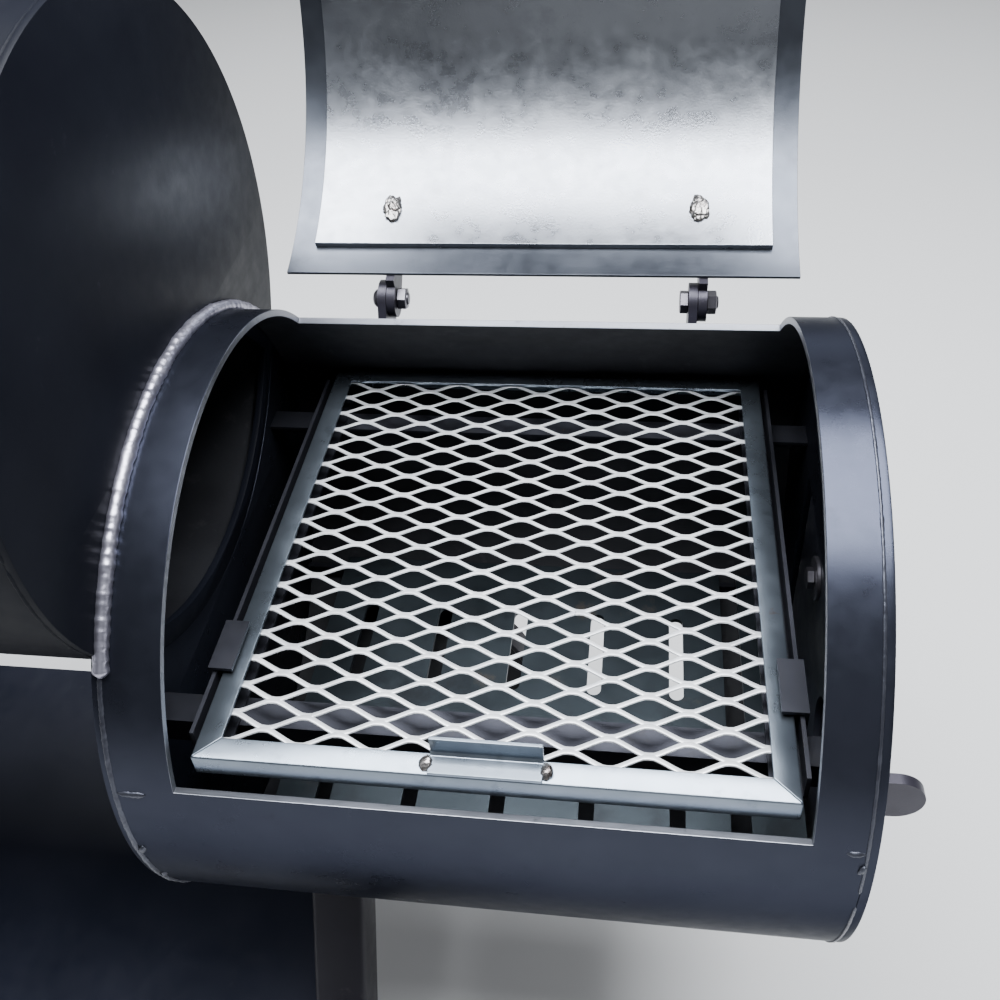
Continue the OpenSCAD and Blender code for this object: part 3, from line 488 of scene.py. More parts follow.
camera_data = bpy.data.cameras.new("camera")
camera = bpy.data.objects.new("camera", camera_data)
SCENE.collection.objects.link(camera)
SCENE.camera = camera
YAW, PITCH, ROLL = -0.1892, 0.6889, -0.0905
ahead = Vector((math.sin(YAW) * math.cos(PITCH), math.cos(YAW) * math.cos(PITCH), -math.sin(PITCH)))
level = Vector((math.cos(YAW), -math.sin(YAW), 0))
above = level.cross(ahead)
right = level * math.cos(ROLL) + above * math.sin(ROLL)
upward = above * math.cos(ROLL) - level * math.sin(ROLL)
turn = Matrix((right, upward, -ahead)).transposed().to_4x4()
camera.matrix_world = Matrix.Translation(FIRE @ Vector((366, -648, 733))) @ turn
camera_data.lens, camera_data.sensor_width = 39.31, 36
camera_data.shift_x, camera_data.shift_y = 0.0225, -0.0647
camera_data.clip_start, camera_data.clip_end = 0.02, 60


def area_light(name, where, target, size, power, colour=(1, 1, 1)):
    data = bpy.data.lights.new(name, "AREA")
    data.shape, data.size, data.size_y = "RECTANGLE", size[0], size[1]
    data.energy, data.color = power, colour
    lamp = bpy.data.objects.new(name, data)
    SCENE.collection.objects.link(lamp)
    lamp.location = where
    lamp.rotation_mode = "QUATERNION"
    lamp.rotation_quaternion = (Vector(target) - Vector(where)).to_track_quat("-Z", "Y")


area_light("overhead", (0.5, 0.05, 3.5), (0.5, 0.0, 0.7), (3.2, 2.5), 520, (0.93, 0.96, 1.0))
area_light("front", (0.9, -3.6, 1.7), (0.3, 0, 0.5), (2.6, 1.4), 4, (0.96, 0.97, 1.0))
area_light("left", (-3.6, -1.2, 2.4), (0, 0, 0.8), (2.0, 1.6), 26, (0.93, 0.95, 1.0))
area_light("right", (3.6, -0.4, 1.8), (0.5, 0, 0.7), (1.4, 1.8), 7, (0.95, 0.97, 1.0))
area_light("behind", (0.2, 3.8, 1.8), (0.2, 0, 0.6), (3.0, 1.2), 26, (0.95, 0.97, 1.0))

world = bpy.data.worlds.new("studio")
SCENE.world = world
world.use_nodes = True
sky = world.node_tree
for n in list(sky.nodes):
    sky.nodes.remove(n)
dim = node(sky, "ShaderNodeBackground", {"Color": (0.9, 0.94, 1.0, 1), "Strength": 0.09})
pale = node(sky, "ShaderNodeBackground", {"Color": (0.93, 0.94, 0.95, 1), "Strength": 1.6})
seen = node(sky, "ShaderNodeLightPath").outputs["Is Camera Ray"]
both = node(sky, "ShaderNodeMixShader", {0: seen, 1: dim.outputs[0], 2: pale.outputs[0]})
node(sky, "ShaderNodeOutputWorld", {0: both.outputs[0]})

floor_mat = bpy.data.materials.new("floor")
floor_mat.use_nodes = True
floor_shader = floor_mat.node_tree.nodes["Principled BSDF"]
floor_shader.inputs["Base Color"].default_value = (0.58, 0.58, 0.58, 1)
floor_shader.inputs["Emission Color"].default_value = (0.95, 0.97, 1, 1)
floor_shader.inputs["Emission Strength"].default_value = 0.1
floor_shader.inputs["Roughness"].default_value = 0.9
floor_mesh = bmesh.new()
add(floor_mesh, [(-14, -14, 0), (14, -14, 0), (14, 14, 0), (-14, 14, 0)], [(0, 1, 2, 3)])
floor_data = bpy.data.meshes.new("floor")
floor_mesh.to_mesh(floor_data)
floor_mesh.free()
floor_data.materials.append(floor_mat)
floor = bpy.data.objects.new("floor", floor_data)
SCENE.collection.objects.link(floor)

# ---- firebox ----


def side_outline(lap, r):
    """Outline of the side door's opening, or of the door itself when it is grown by a lap."""
    left, right_y, top = SIDE_OPEN[0] - lap, SIDE_OPEN[1] + lap, SIDE_OPEN[2] + lap
    return [(right_y, top), (left, top)] + ring_points(
        r, a0=180 + math.degrees(math.acos(-left / r)), a1=360 - math.degrees(math.acos(right_y / r)))


def firebox_pieces():
    x0, x1, a0, a1 = FIRE_OPEN
    bm = bmesh.new()
    xs = lines(0, SHELL_LEN, x0, x1, ASH_OPEN[0], ASH_OPEN[1])
    turns = joined(arc(-180, ASH_OPEN[2]), arc(ASH_OPEN[2], ASH_OPEN[3]), arc(ASH_OPEN[3], a0), arc(a0, a1),
                   arc(a1, 180))
    # inner face: the near-black painted interior shade; rims of the openings: cut steel
    sheet(bm, xs, turns, RI, RO, [(x0, x1, a0, a1), ASH_OPEN], (0, 1, 2))
    piece("firebox_shell_plate", bm, FIRE, [firebox_paint, painted_interior_shade, cut_steel], "firebox_shell", 0.7)

    # closing plate: a crescent left clear by the chamber's disc
    bm = bmesh.new()
    apart = math.hypot(BACK, RISE)
    lean = math.degrees(math.atan2(RISE, BACK))
    reach = math.degrees(math.acos(apart / 2 / RO))
    outer = ring_points(RO, a0=lean + reach, a1=lean - reach + 360)
    inner = ring_points(RO, (BACK, RISE), lean + 180 + reach, lean + 180 - reach)
    plate(bm, [outer + inner[1:-1]], -WALL / 2, WALL)
    piece("firebox_closing_disc", bm, FIRE, [firebox_paint], "firebox_closing_plate")

    # end plate with the side door's opening
    bm = bmesh.new()
    plate(bm, [ring_points(RO), side_outline(0, SIDE_OPEN[3])], SHELL_LEN + WALL / 2, WALL)
    piece("firebox_end_disc", bm, FIRE, [firebox_paint], "firebox_end_plate")


def around(r, x, a0, a1):
    return [(x, *polar(r, a)) for a in arc(a0, a1, 0.6)]


def firebox_welds():
    bm = bmesh.new()
    weld(bm, around(RO + 2.0, 2.2, 29, 147), 6.6, 3.0, 0.95, 0.13, 9.0)
    piece("firebox_joint_weld", bm, FIRE, [weld_steel], "firebox_weld_bead", angle=70)

    bm = bmesh.new()
    weld(bm, around(RO - 0.6, 0.2, 147, 389), 2.6, 7.0, 0.7, 0.22, 4)
    weld(bm, around(RO - 0.6, SHELL_LEN - 0.2, -178, 178), 1.9, 9.0, 0.6, 0.18, 4)
    piece("firebox_seam_welds", bm, FIRE, [painted_weld], "firebox_shell", angle=70, replace=False)

    # short seams where the lip ends, and tacks on the front of the shell
    bm = bmesh.new()
    x0, x1, _, a1 = FIRE_OPEN
    weld(bm, [(x, *polar(RO - 0.4, a1 + 1.0)) for x in arc(x0 - 43, x0 - 22, 2)], 2.6, 11.0, 0.7, 0.25, 4)
    weld(bm, [(x, *polar(RO - 0.4, a1 + 1.0)) for x in arc(x1 + 22, x1 + 34, 2)], 2.6, 13.0, 0.7, 0.25, 4)
    for x, a in ((2.5, 184), (2.5, 196), (SHELL_LEN - 4, 172)):
        y, z = polar(RO - 0.5, a)
        weld(bm, [(x, y, z - 5), (x + 2, y, z), (x + 3, y, z + 5)], 3.2, x + a, 0.7, 0.3, 4)
    piece("firebox_short_welds", bm, FIRE, [painted_weld], "firebox_shell", angle=70, replace=False)


firebox_pieces()
firebox_welds()
for name in ("firebox_cross_members", "grate_rails", "grate_clips"):
    keep(name, bracket_steel, 0.5)
# the fire plate's steel carries painted shade: its tone is darkened for the firebox's inside
keep("fire_plate", fire_plate_steel, 0.5)

# ---- lids ----


def rolled_lid(kind, place, opening, node_plate, node_strip, outside, inside, strip):
    """The lid's plate and the strips welded over its edges."""
    x0, x1, a0, a1 = opening
    bm = bmesh.new()
    sheet(bm, lines(x0 + GAP, x1 - GAP), arc(a0 + PLAY_A, a1 - PLAY_A), RI + SLIP, SKIN, None, (0, 1, 2))
    piece(kind + "_sheet", bm, place, [outside, inside, inside], node_plate, 0.6)

    bm = bmesh.new()
    inner = (x0 + 21, x1 - 21, a0 + 3, a1 - 3)
    xs = lines(x0 - LAP, x1 + LAP, inner[0], inner[1])
    turns = joined(arc(a0 - LAP_A, inner[2]), arc(inner[2], inner[3]), arc(inner[3], a1 + LAP_A))
    sheet(bm, xs, turns, SKIN, SKIN + STRIP_T, [inner], (0, 1, 1))
    piece(kind + "_strips", bm, place, [outside, strip], node_strip, 0.4)


def grip(kind, place, xs, degrees, node_posts, node_grip):
    """Two posts and a bar with a coil of wire round it to stay cool."""
    stand, post_r, bar_r, core_r, end = 48, 7, 7.9, 5.2, 14
    y, z = polar(1, degrees)
    base = Vector((0, y, z))
    bm = bmesh.new()
    for x in xs:
        foot, top = Vector((x, 0, 0)) + base * (SKIN - 1), Vector((x, 0, 0)) + base * (SKIN + stand - 2)
        rod(bm, foot, top, post_r, 0.6, 32)
        seat = Vector((x, 0, 0)) + base * SKIN
        collar = [seat + Vector((math.cos(t), -z * math.sin(t), y * math.sin(t))) * (post_r + 0.5)
                  for t in [math.pi * k / 12 for k in range(25)]]
        weld(bm, collar, 2.2, x, 0.9, 0.2, 4)
    piece(kind + "_posts", bm, place, [hinge_steel], node_posts)
    bm = bmesh.new()
    centre = base * (SKIN + stand)
    rod(bm, Vector((xs[0] - end, 0, 0)) + centre, Vector((xs[1] + end, 0, 0)) + centre, core_r, 1.0, 32)
    for x in (xs[0] - end, xs[0] + 3, xs[1] - 3, xs[1] + end):
        rod(bm, Vector((x - 2.5, 0, 0)) + centre, Vector((x + 2.5, 0, 0)) + centre, bar_r, 0.8, 32)
    wire, pitch, turn_steps = 1.35, 3.1, 14
    length = xs[1] - xs[0] - 10
    count = int(length / pitch) * turn_steps
    side = Vector((0, -z, y))
    path = []
    for i in range(count + 1):
        t = 2 * math.pi * i / turn_steps
        spot = centre + Vector((xs[0] + 5 + length * i / count, 0, 0))
        path.append(spot + (base * math.cos(t) + side * math.sin(t)) * (bar_r - wire))
    sweep(bm, path, wire, 6)
    piece(kind + "_grip_bar", bm, place, [bright_steel], node_grip, angle=50)


rolled_lid("firebox_lid", LID, FIRE_OPEN, "firebox_lid_plate", "firebox_lid_flashing",
           firebox_paint, lid_steel, strip_steel)
middle = (FIRE_OPEN[0] + FIRE_OPEN[1]) / 2
grip("firebox_lid", LID, (middle - 75, middle + 75), LID_GRIP_A,
     "firebox_lid_handle_posts", "firebox_lid_handle_grip")
# the chamber door's inner face and strips take the near-black painted interior shade
rolled_lid("chamber_door", CHAMBER, COOK_OPEN, "chamber_door_plate", "chamber_door_flashing",
           door_paint, painted_interior_shade, painted_interior_shade)
middle = (COOK_OPEN[0] + COOK_OPEN[1]) / 2
grip("chamber_door", CHAMBER, (middle - 150, middle + 150), DOOR_GRIP_A,
     "chamber_door_handle_posts", "chamber_door_handle_grip")


def plug_welds():
    """Lumpy plugs on the lid's inner face, level with the hinge arms."""
    bm = bmesh.new()
    for k, x in enumerate(HINGE_X):
        y, z = polar(RI - 1.0, FIRE_OPEN[2] + 10)
        ball = bmesh.ops.create_icosphere(bm, subdivisions=5, radius=1.0)["verts"]
        inward = -Vector((0, y, z)).normalized()
        for v in ball:
            p = v.co.copy()
            lump = 1 + 0.30 * noise.noise(p * 1.6 + Vector((k * 9, 0, 0))) + 0.16 * noise.noise(p * 4.2)
            p = p * lump
            along = Vector((0, -inward.z, inward.y))
            v.co = Vector((x, y, z)) + Vector((p.x * 9.0, 0, 0)) + along * (p.y * 13.0) + inward * (p.z * 4.2)
    piece("firebox_lid_plugs", bm, LID, [plug_steel], "firebox_lid_plug_welds", angle=80)


plug_welds()

# ---- hinges ----


def hinge_hardware(kind, place, pivot, xs, node_bolt, node_nut, domed):
    bm, nuts = bmesh.new(), bmesh.new()
    for k, x in enumerate(xs):
        at = Vector((x, *pivot))
        seat = at + Vector((EAR_FACE, 0, 0))
        if domed[k]:
            lathe(bm, [(0, 0), (9.4, 0), (9.6, 0.8), (9.6, 2), (8.6, 4.6), (6.2, 6.8), (3, 7.8), (0, 8)],
                  seat, (-1, 0, 0), 40)
        else:
            hexagon(bm, seat, (-1, 0, 0), 19, 8, phase=0.3 * k)
        lathe(bm, [(0, 0), (6.35, 0), (6.35, 26), (5.4, 27.4), (3.2, 27.9), (0, 28)], seat, (1, 0, 0), 32)
        hexagon(nuts, at + Vector((ARM_FACE, 0, 0)), (1, 0, 0), 19, 9, phase=0.55 + 0.4 * k)
    piece(kind + "_bolts", bm, place, [fastener], node_bolt)
    piece(kind + "_nuts", nuts, place, [fastener], node_nut)


hinge_hardware("lid_hinge", FIRE, LID_PIVOT, HINGE_X, "lid_hinge_bolts", "lid_hinge_nuts", (True, False))
hinge_hardware("door_hinge", CHAMBER, DOOR_PIVOT, DOOR_HINGE_X, "chamber_hinge_bolts", "chamber_hinge_nuts",
               (False, False))
for name in ("lid_hinge_ears", "firebox_lid_hinge_arms", "chamber_hinge_ears", "chamber_door_hinge_arms",
             "side_door_knuckles", "side_hinge_leaves", "ash_hinge"):
    keep(name, hinge_steel, 0.7)

# ---- grate ----

GRATE_LOW, GRATE_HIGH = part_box("grate_frame")
WORLD = Matrix.Scale(MM, 4)
FRAME_W, FLANGE_W, ANGLE_T = 19, 18, 3
COOK_GRATE_W = 440


def mitred_frame(bm, low, high, top):
    """Four angle irons with mitred corners and a hair of gap between them."""
    hair = 0.25
    section = [(1.6, 0), (FLANGE_W, 0), (FLANGE_W, -ANGLE_T), (ANGLE_T + 2, -ANGLE_T),
               (ANGLE_T + 0.6, -ANGLE_T - 0.6), (ANGLE_T, -ANGLE_T - 2),
               (ANGLE_T, 0.1 - FRAME_W), (0, 0.1 - FRAME_W), (0, -1.6), (0.5, -0.5)]
    corners = [(low[0], low[1]), (high[0], low[1]), (high[0], high[1]), (low[0], high[1])]
    count = len(section)
    for k in range(4):
        a, b = Vector(corners[k]), Vector(corners[(k + 1) % 4])
        along = (b - a).normalized()
        inward = Vector((-along.y, along.x))
        ends = []
        for start, sign in ((a, 1), (b, -1)):
            ring = []
            for u, v in section:
                p = start + inward * u + along * sign * (u + hair)
                ring.append((p.x, p.y, top + v))
            ends.append(ring)
        faces = [(i, (i + 1) % count, count + (i + 1) % count, count + i) for i in range(count)]
        add(bm, ends[0] + ends[1], faces + [tuple(range(count))[::-1], tuple(range(count, 2 * count))])


def expanded_metal(bm, low, high, top, offset=0.0):
    """Raised expanded metal: wavy strands, each one meeting its neighbours at tilted knuckles."""
    long_pitch, short_pitch, strand, thick, tilt = 55.4, 25.4, 5.0, 2.2, -18
    flat, steps, knuckle = 0.1, 16, 1.3
    rise = math.radians(tilt)
    row = short_pitch / 2
    swing = row / 2 - knuckle
    lift = strand * math.sin(rise) / 2
    centre = ((low[0] + high[0]) / 2, (low[1] + high[1]) / 2 + offset)
    middle_z = top - abs(lift) - thick * 0.5 * math.cos(rise) - strand * 0.28 * abs(math.sin(rise))
    across, normal = (math.cos(rise), math.sin(rise)), (-math.sin(rise), math.cos(rise))
    section = []
    for u, v in ((-0.5, -0.28), (-0.28, -0.5), (0.28, -0.5), (0.5, -0.28),
                 (0.5, 0.28), (0.28, 0.5), (-0.28, 0.5), (-0.5, 0.28)):
        section.append(tuple(u * strand * across[i] + v * thick * normal[i] for i in (0, 1)))
    first = math.ceil((low[1] - centre[1]) / row)
    last = math.floor((high[1] - centre[1]) / row)
    for n in range(first, last):
        y_row = centre[1] + (n + 0.5) * row
        shift = 0.0 if n % 2 == 0 else 0.5
        rings = []
        k0 = int((low[0] - centre[0]) / long_pitch * steps) - 1
        k1 = int((high[0] - centre[0]) / long_pitch * steps) + 1
        for k in range(k0, k1 + 1):
            x = centre[0] + k * long_pitch / steps
            if not low[0] <= x <= high[0]:
                x = min(max(x, low[0]), high[0])
                if rings and abs(rings[-1][0].co.x - x) < 0.01:
                    continue
            phase = ((x - centre[0]) / long_pitch + shift) % 1.0
            t = abs(phase - 0.5) * 2
            t = min(max((t - flat) / (1 - 2 * flat), 0), 1)
            wave = 2 * (t * t * (3 - 2 * t) * 0.25 + t * 0.75) - 1
            wobble = noise.noise(Vector((x * 0.03, n * 1.7, 0))) * 0.35
            y, z = y_row + swing * wave + wobble, middle_z - lift * wave
            ring = [bm.verts.new((x, min(max(y + dy, low[1]), high[1]), z + dz)) for dy, dz in section]
            rings.append(ring)
        for a, b in zip(rings, rings[1:]):
            for i in range(8):
                bm.faces.new((a[i], a[(i + 1) % 8], b[(i + 1) % 8], b[i]))
        bm.faces.new(rings[0][::-1])
        bm.faces.new(rings[-1])


def grate_pieces():
    low, high = GRATE_LOW / MM, GRATE_HIGH / MM
    bm = bmesh.new()
    mitred_frame(bm, low, high, high.z)
    piece("grate_angle_frame", bm, WORLD, [frame_steel], "grate_frame", 0.6)
    bm = bmesh.new()
    m_low, m_high = (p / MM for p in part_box("grate_mesh"))
    expanded_metal(bm, m_low, m_high, m_high.z, offset=-10.1)
    piece("grate_expanded_metal", bm, WORLD, [mesh_steel], "grate_mesh", angle=60)

    # handle: a short angle with its weld blobs
    h_low, h_high = (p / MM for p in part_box("grate_handle"))
    bm = bmesh.new()
    outline = [(h_low.y, h_low.z), (h_high.y, h_low.z), (h_high.y, h_high.z), (h_high.y - 3, h_high.z),
               (h_high.y - 3, h_low.z + 5), (h_high.y - 5, h_low.z + 3), (h_low.y, h_low.z + 3)]
    count = len(outline)
    ends = [[(x, y, z) for y, z in outline] for x in (h_low.x, h_high.x)]
    faces = [(i, (i + 1) % count, count + (i + 1) % count, count + i) for i in range(count)]
    add(bm, ends[0] + ends[1], faces + [tuple(range(count))[::-1], tuple(range(count, 2 * count))])
    piece("grate_pull", bm, WORLD, [frame_steel], "grate_handle", 0.6)
    bm = bmesh.new()
    for k, x in enumerate((h_low.x + 1, h_high.x - 1)):
        out = -2.5 if k == 0 else 2.5
        weld(bm, [(x + out, h_low.y + 3, h_low.z + 0.8), (x + out * 1.3, h_low.y + 9, h_low.z + 1.2),
                  (x + out, h_high.y - 4, h_low.z + 0.8)], 5.6, 21.0 + k, 0.75, 0.25, 7)
    piece("grate_pull_welds", bm, WORLD, [plug_steel], "grate_handle", angle=80, replace=False)


grate_pieces()

# ---- side door, ash door ----


def side_door_pieces():
    low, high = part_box("side_door_plate")
    x0, x1 = (low.x - WELD_X) / MM, (high.x - WELD_X) / MM
    outer = side_outline(SIDE_LAP, SIDE_OPEN[3] + SIDE_LAP * 0.85)
    bm = bmesh.new()
    plate(bm, [outer, ring_points(AIR_R, AIR_PORT, step=6)], (x0 + x1) / 2, x1 - x0)
    piece("side_door_panel", bm, FIRE, [door_paint], "side_door_plate")

    bm = bmesh.new()
    inner = Vector((x0 - WASHER_T, *SIDE_BOLT))
    rod(bm, inner, (x1 + 13.5, *SIDE_BOLT), SIDE_BOLT_R, 1, 24)
    hexagon(bm, inner, (-1, 0, 0), 17, 6.9, phase=0.4)
    hexagon(bm, (x1 + 6.5, *SIDE_BOLT), (1, 0, 0), 17, 6.9)
    piece("side_door_bolt_and_nut", bm, FIRE, [fastener], "side_door_bolt")
    bm = bmesh.new()
    tube(bm, inner, (x0, *SIDE_BOLT), 20, SIDE_BOLT_R, 0.7)
    piece("side_door_round_washer", bm, FIRE, [fastener], "side_door_washer")


side_door_pieces()
keep("side_door_damper", door_paint, 0.7)
keep("side_door_pull", hinge_steel, 0.8)
keep("side_hinge_pins", fastener, 0.6)


def ash_door_piece():
    lap, barrel = 10, 30
    pivot = polar(RO + 8, ASH_HINGE_A)
    place = FIRE @ about_x(*pivot, -ASH_HANG)
    bm = bmesh.new()
    sheet(bm, lines(ASH_OPEN[0] - lap, ASH_OPEN[1] + lap), arc(ASH_HINGE_A + 1, ASH_OPEN[3] + 4),
          SKIN, SKIN + STRIP_T)
    for x in (ASH_OPEN[0] + 36, ASH_OPEN[1] - 66):
        sheet(bm, [x, x + barrel], arc(ASH_HINGE_A, ASH_HINGE_A + 3, 1), SKIN, SKIN + STRIP_T)
        tube(bm, (x, *pivot), (x + barrel, *pivot), 6, 3.06, 0.5, 32)
    piece("ash_door_plate", bm, place, [door_paint], "ash_door", 0.3)


ash_door_piece()

# ---- cooking chamber ----


def chamber_pieces():
    x0, x1, a0, a1 = COOK_OPEN
    left = -WALL - CHAMBER_LEN
    bm = bmesh.new()
    turns = joined(arc(a0, a1), arc(a1, a0 + 360))
    # inner face and rims take the near-black painted interior shade
    sheet(bm, lines(left, -WALL, x0, x1), turns, RI, RO, [(x0, x1, a0, a1)], (0, 1, 1))
    piece("chamber_shell_plate", bm, CHAMBER, [chamber_paint, painted_interior_shade], "chamber_shell", 0.7)

    bm = bmesh.new()
    apart = math.hypot(BACK, RISE)
    lean = math.degrees(math.atan2(-RISE, -BACK))
    r = RI - 12
    reach = math.degrees(math.acos(apart / 2 / r))
    lens = ring_points(r, a0=lean - reach, a1=lean + reach)
    lens += ring_points(r, (-BACK, -RISE), lean + 180 - reach, lean + 180 + reach)[1:-1]
    plate(bm, [ring_points(RO), lens], -WALL / 2, WALL)
    piece("chamber_right_disc", bm, CHAMBER, [chamber_paint], "chamber_firebox_end_plate")
    bm = bmesh.new()
    plate(bm, [ring_points(RO)], left - WALL / 2, WALL)
    piece("chamber_left_disc", bm, CHAMBER, [chamber_paint], "chamber_stack_end_plate")
    bm = bmesh.new()
    for x, seed in ((left - 0.5, 31.0), (-WALL + 0.5, 33.0)):
        weld(bm, around(RO - 0.8, x, -179, 180), 2.0, seed, 0.6, 0.16, 5)
    piece("chamber_seam_welds", bm, CHAMBER, [chamber_paint], "chamber_shell", angle=70, replace=False)


def cooking_grates():
    frames, meshes = bmesh.new(), bmesh.new()
    low, high = (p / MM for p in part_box("cooking_grate_frames"))
    wide = COOK_GRATE_W
    m_low, m_high = (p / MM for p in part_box("cooking_grate_meshes"))
    inset = m_low.x - low.x
    for x in (low.x, high.x - wide):
        mitred_frame(frames, (x, low.y), (x + wide, high.y), high.z)
        expanded_metal(meshes, (x + inset, m_low.y), (x + wide - inset, m_high.y), m_high.z)
    piece("cooking_angle_frames", frames, WORLD, [cooking_steel], "cooking_grate_frames", 0.6)
    piece("cooking_expanded_metal", meshes, WORLD, [cooking_steel], "cooking_grate_meshes", angle=60)


def thermometer():
    place = CHAMBER
    x = (COOK_OPEN[0] + COOK_OPEN[1]) / 2
    y, z = polar(1, DIAL_A)
    out = Vector((0, y, z))
    side, up = Vector((1, 0, 0)), Vector((0, z, -y)) * -1
    base = Vector((x, 0, 0)) + out * SKIN
    bm = bmesh.new()
    rod(bm, Vector((x, 0, 0)) + out * (RO - 90), base + out * 1, 3, 0.8, 24)
    hexagon(bm, base, out, 20, 9.4)
    lathe(bm, [(0, 9.6), (34, 9.6), (37.2, 11.2), (38, 14), (38, 20), (37, 21.4), (35.6, 21.4), (35.2, 20),
               (35.2, 13.2), (0, 13.2)], base, out, 96)
    piece("thermometer_body", bm, place, [bright_steel], "thermometer_case")
    bm = bmesh.new()
    tube(bm, base + out * 13.2, base + out * 14.2, 35.1, 1.9, 0.2, 96)
    first_a, mark_a, minor = 225, 27, 5
    for k in range(11):
        for j in range(minor if k < 10 else 1):
            t = math.radians(first_a - mark_a * (k + j / minor))
            ray = side * math.cos(t) + up * math.sin(t)
            cross = out.cross(ray)
            r0, r1, half = (28.5, 33, 0.45) if j == 0 else (31, 33, 0.22)
            quad = [base + ray * r + cross * s + out * h for h in (14.1, 14.32) for r, s in
                    ((r0, -half), (r1, -half), (r1, half), (r0, half))]
            add(bm, quad, [(0, 1, 2, 3), (7, 6, 5, 4), (0, 4, 5, 1), (1, 5, 6, 2), (2, 6, 7, 3), (3, 7, 4, 0)],
                1)
    for k in range(0, 11, 2):
        t = math.radians(first_a - mark_a * k)
        spot = base + (side * math.cos(t) + up * math.sin(t)) * 22.5 + out * 14.1
        text = bpy.data.curves.new("number", "FONT")
        text.body, text.size, text.extrude = str(50 * k), 6.4, 0.1
        text.align_x = text.align_y = "CENTER"
        holder = bpy.data.objects.new("number", text)
        SCENE.collection.objects.link(holder)
        made = bpy.data.meshes.new_from_object(holder.evaluated_get(bpy.context.evaluated_depsgraph_get()))
        facing = Matrix((side, up, out)).transposed().to_4x4()
        made.transform(Matrix.Translation(spot + out * 0.12) @ facing)
        before = set(bm.faces)
        bm.from_mesh(made)
        for face in set(bm.faces) - before:
            face.material_index = 1
        bpy.data.objects.remove(holder)
        bpy.data.curves.remove(text)
        bpy.data.meshes.remove(made)
    piece("thermometer_scale", bm, place, [dial_paper, dial_ink], "thermometer_dial", angle=30)
    bm = bmesh.new()
    lathe(bm, [(0, 13.4), (1.8, 13.4), (1.8, 17.4), (1.2, 18), (0, 18.1)], base, out, 24)
    tip = Vector((1, 0, 0))
    wide = out.cross(tip)
    upper = [(-26.5, 0.4), (-8, 1.5), (0, 1.9), (10, 1.4), (27, 0.15)]
    shape = upper + [(u, -v) for u, v in upper[::-1]]
    count = len(shape)
    layers = [base + tip * u + wide * v + out * h for h in (15.4, 16.0) for u, v in shape]
    faces = [(i, (i + 1) % count, count + (i + 1) % count, count + i) for i in range(count)]
    add(bm, layers, faces + [tuple(range(count))[::-1], tuple(range(count, 2 * count))])
    piece("thermometer_pointer", bm, place, [red_paint], "thermometer_needle", angle=30)


def stack_pieces():
    low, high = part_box("smoke_stack")
    r = (high.x - low.x) / 2 / MM
    x = ((low.x + high.x) / 2 - WELD_X) / MM
    top = (high.z - CHAMBER_Z) / MM
    wall_t = 4
    bm = bmesh.new()
    rows = [[], []]
    segments = 96
    for k in range(segments):
        t = 2 * math.pi * k / segments
        for row, radius in zip(rows, (r, r - wall_t)):
            y = radius * math.sin(t)
            foot = math.sqrt(RO * RO - y * y) + 0.05
            row.append([bm.verts.new((x + radius * math.cos(t), y, h)) for h in (foot, top)])
    for k in range(segments):
        n = (k + 1) % segments
        o, i = rows
        bm.faces.new((o[k][0], o[n][0], o[n][1], o[k][1]))
        bm.faces.new((i[k][0], i[k][1], i[n][1], i[n][0]))
        bm.faces.new((o[k][1], o[n][1], i[n][1], i[k][1]))
        bm.faces.new((o[k][0], i[k][0], i[n][0], o[n][0]))
    piece("stack_pipe", bm, CHAMBER, [chamber_paint], "smoke_stack", 0.5)
    bm = bmesh.new()
    ring = []
    for k in range(121):
        t = 2 * math.pi * k / 120
        y = (r + 1.5) * math.sin(t)
        ring.append((x + (r + 1.5) * math.cos(t), y, math.sqrt(RO * RO - y * y) + 1.5))
    weld(bm, ring, 4.0, 41.0, 0.9, 0.2, 5)
    piece("stack_foot_weld", bm, CHAMBER, [painted_weld], "smoke_stack", angle=70, replace=False)


chamber_pieces()
cooking_grates()
thermometer()
stack_pieces()
keep("stack_cap", door_paint, 0.8)
keep("stack_cap_bolt", fastener, 0.6)
# rails and baffle inside the chamber take the near-black painted interior shade
keep("chamber_grate_rails", painted_interior_shade, 0.5)
keep("heat_baffle", painted_interior_shade, 0.6)
keep("drain_pipe", brass, 0.6)
keep("drain_valve_lever", red_paint, 0.8)
keep("tow_handle", stand_paint, 0.6)

# ---- stand ----


def leg(bm, x, axis_z, side, lean, foot):
    """A square tube with rounded corners, cut to the pipe at its top."""
    half, corner, wall_t = LEG_HALF, 5, LEG_WALL
    tilt = math.radians(lean) * side
    across, down = Vector((0, math.cos(tilt), math.sin(tilt))), Vector((0, math.sin(tilt), -math.cos(tilt)))
    loops = []
    for shrink in (0, wall_t):
        h, c = half - shrink, max(corner - shrink, 1.2)
        ring = []
        for cx, cy, start in ((1, 1, 0), (-1, 1, 90), (-1, -1, 180), (1, -1, 270)):
            for t in (0, 30, 60, 90):
                u, v = polar(c, start + t)
                ring.append((cx * (h - c) + u, cy * (h - c) + v))
        top, low = [], []
        for u, v in ring:
            start = Vector((x + u, 0, axis_z)) + across * v
            local = across * v
            b = local.y * down.y + local.z * down.z
            c0 = local.y ** 2 + local.z ** 2 - (RO - 0.05) ** 2
            t_top = -b + math.sqrt(b * b - c0)
            t_low = (start.z - foot) / -down.z
            top.append(bm.verts.new(start + down * t_top))
            low.append(bm.verts.new(start + down * t_low))
        loops.append((top, low))
    (top, low), (top_in, low_in) = loops
    count = len(top)
    for k in range(count):
        n = (k + 1) % count
        bm.faces.new((top[k], top[n], low[n], low[k]))
        bm.faces.new((top_in[k], low_in[k], low_in[n], top_in[n]))
        bm.faces.new((top[k], top_in[k], top_in[n], top[n]))
        bm.faces.new((low[k], low[n], low_in[n], low_in[k]))
    return [v.co.copy() for v in top]


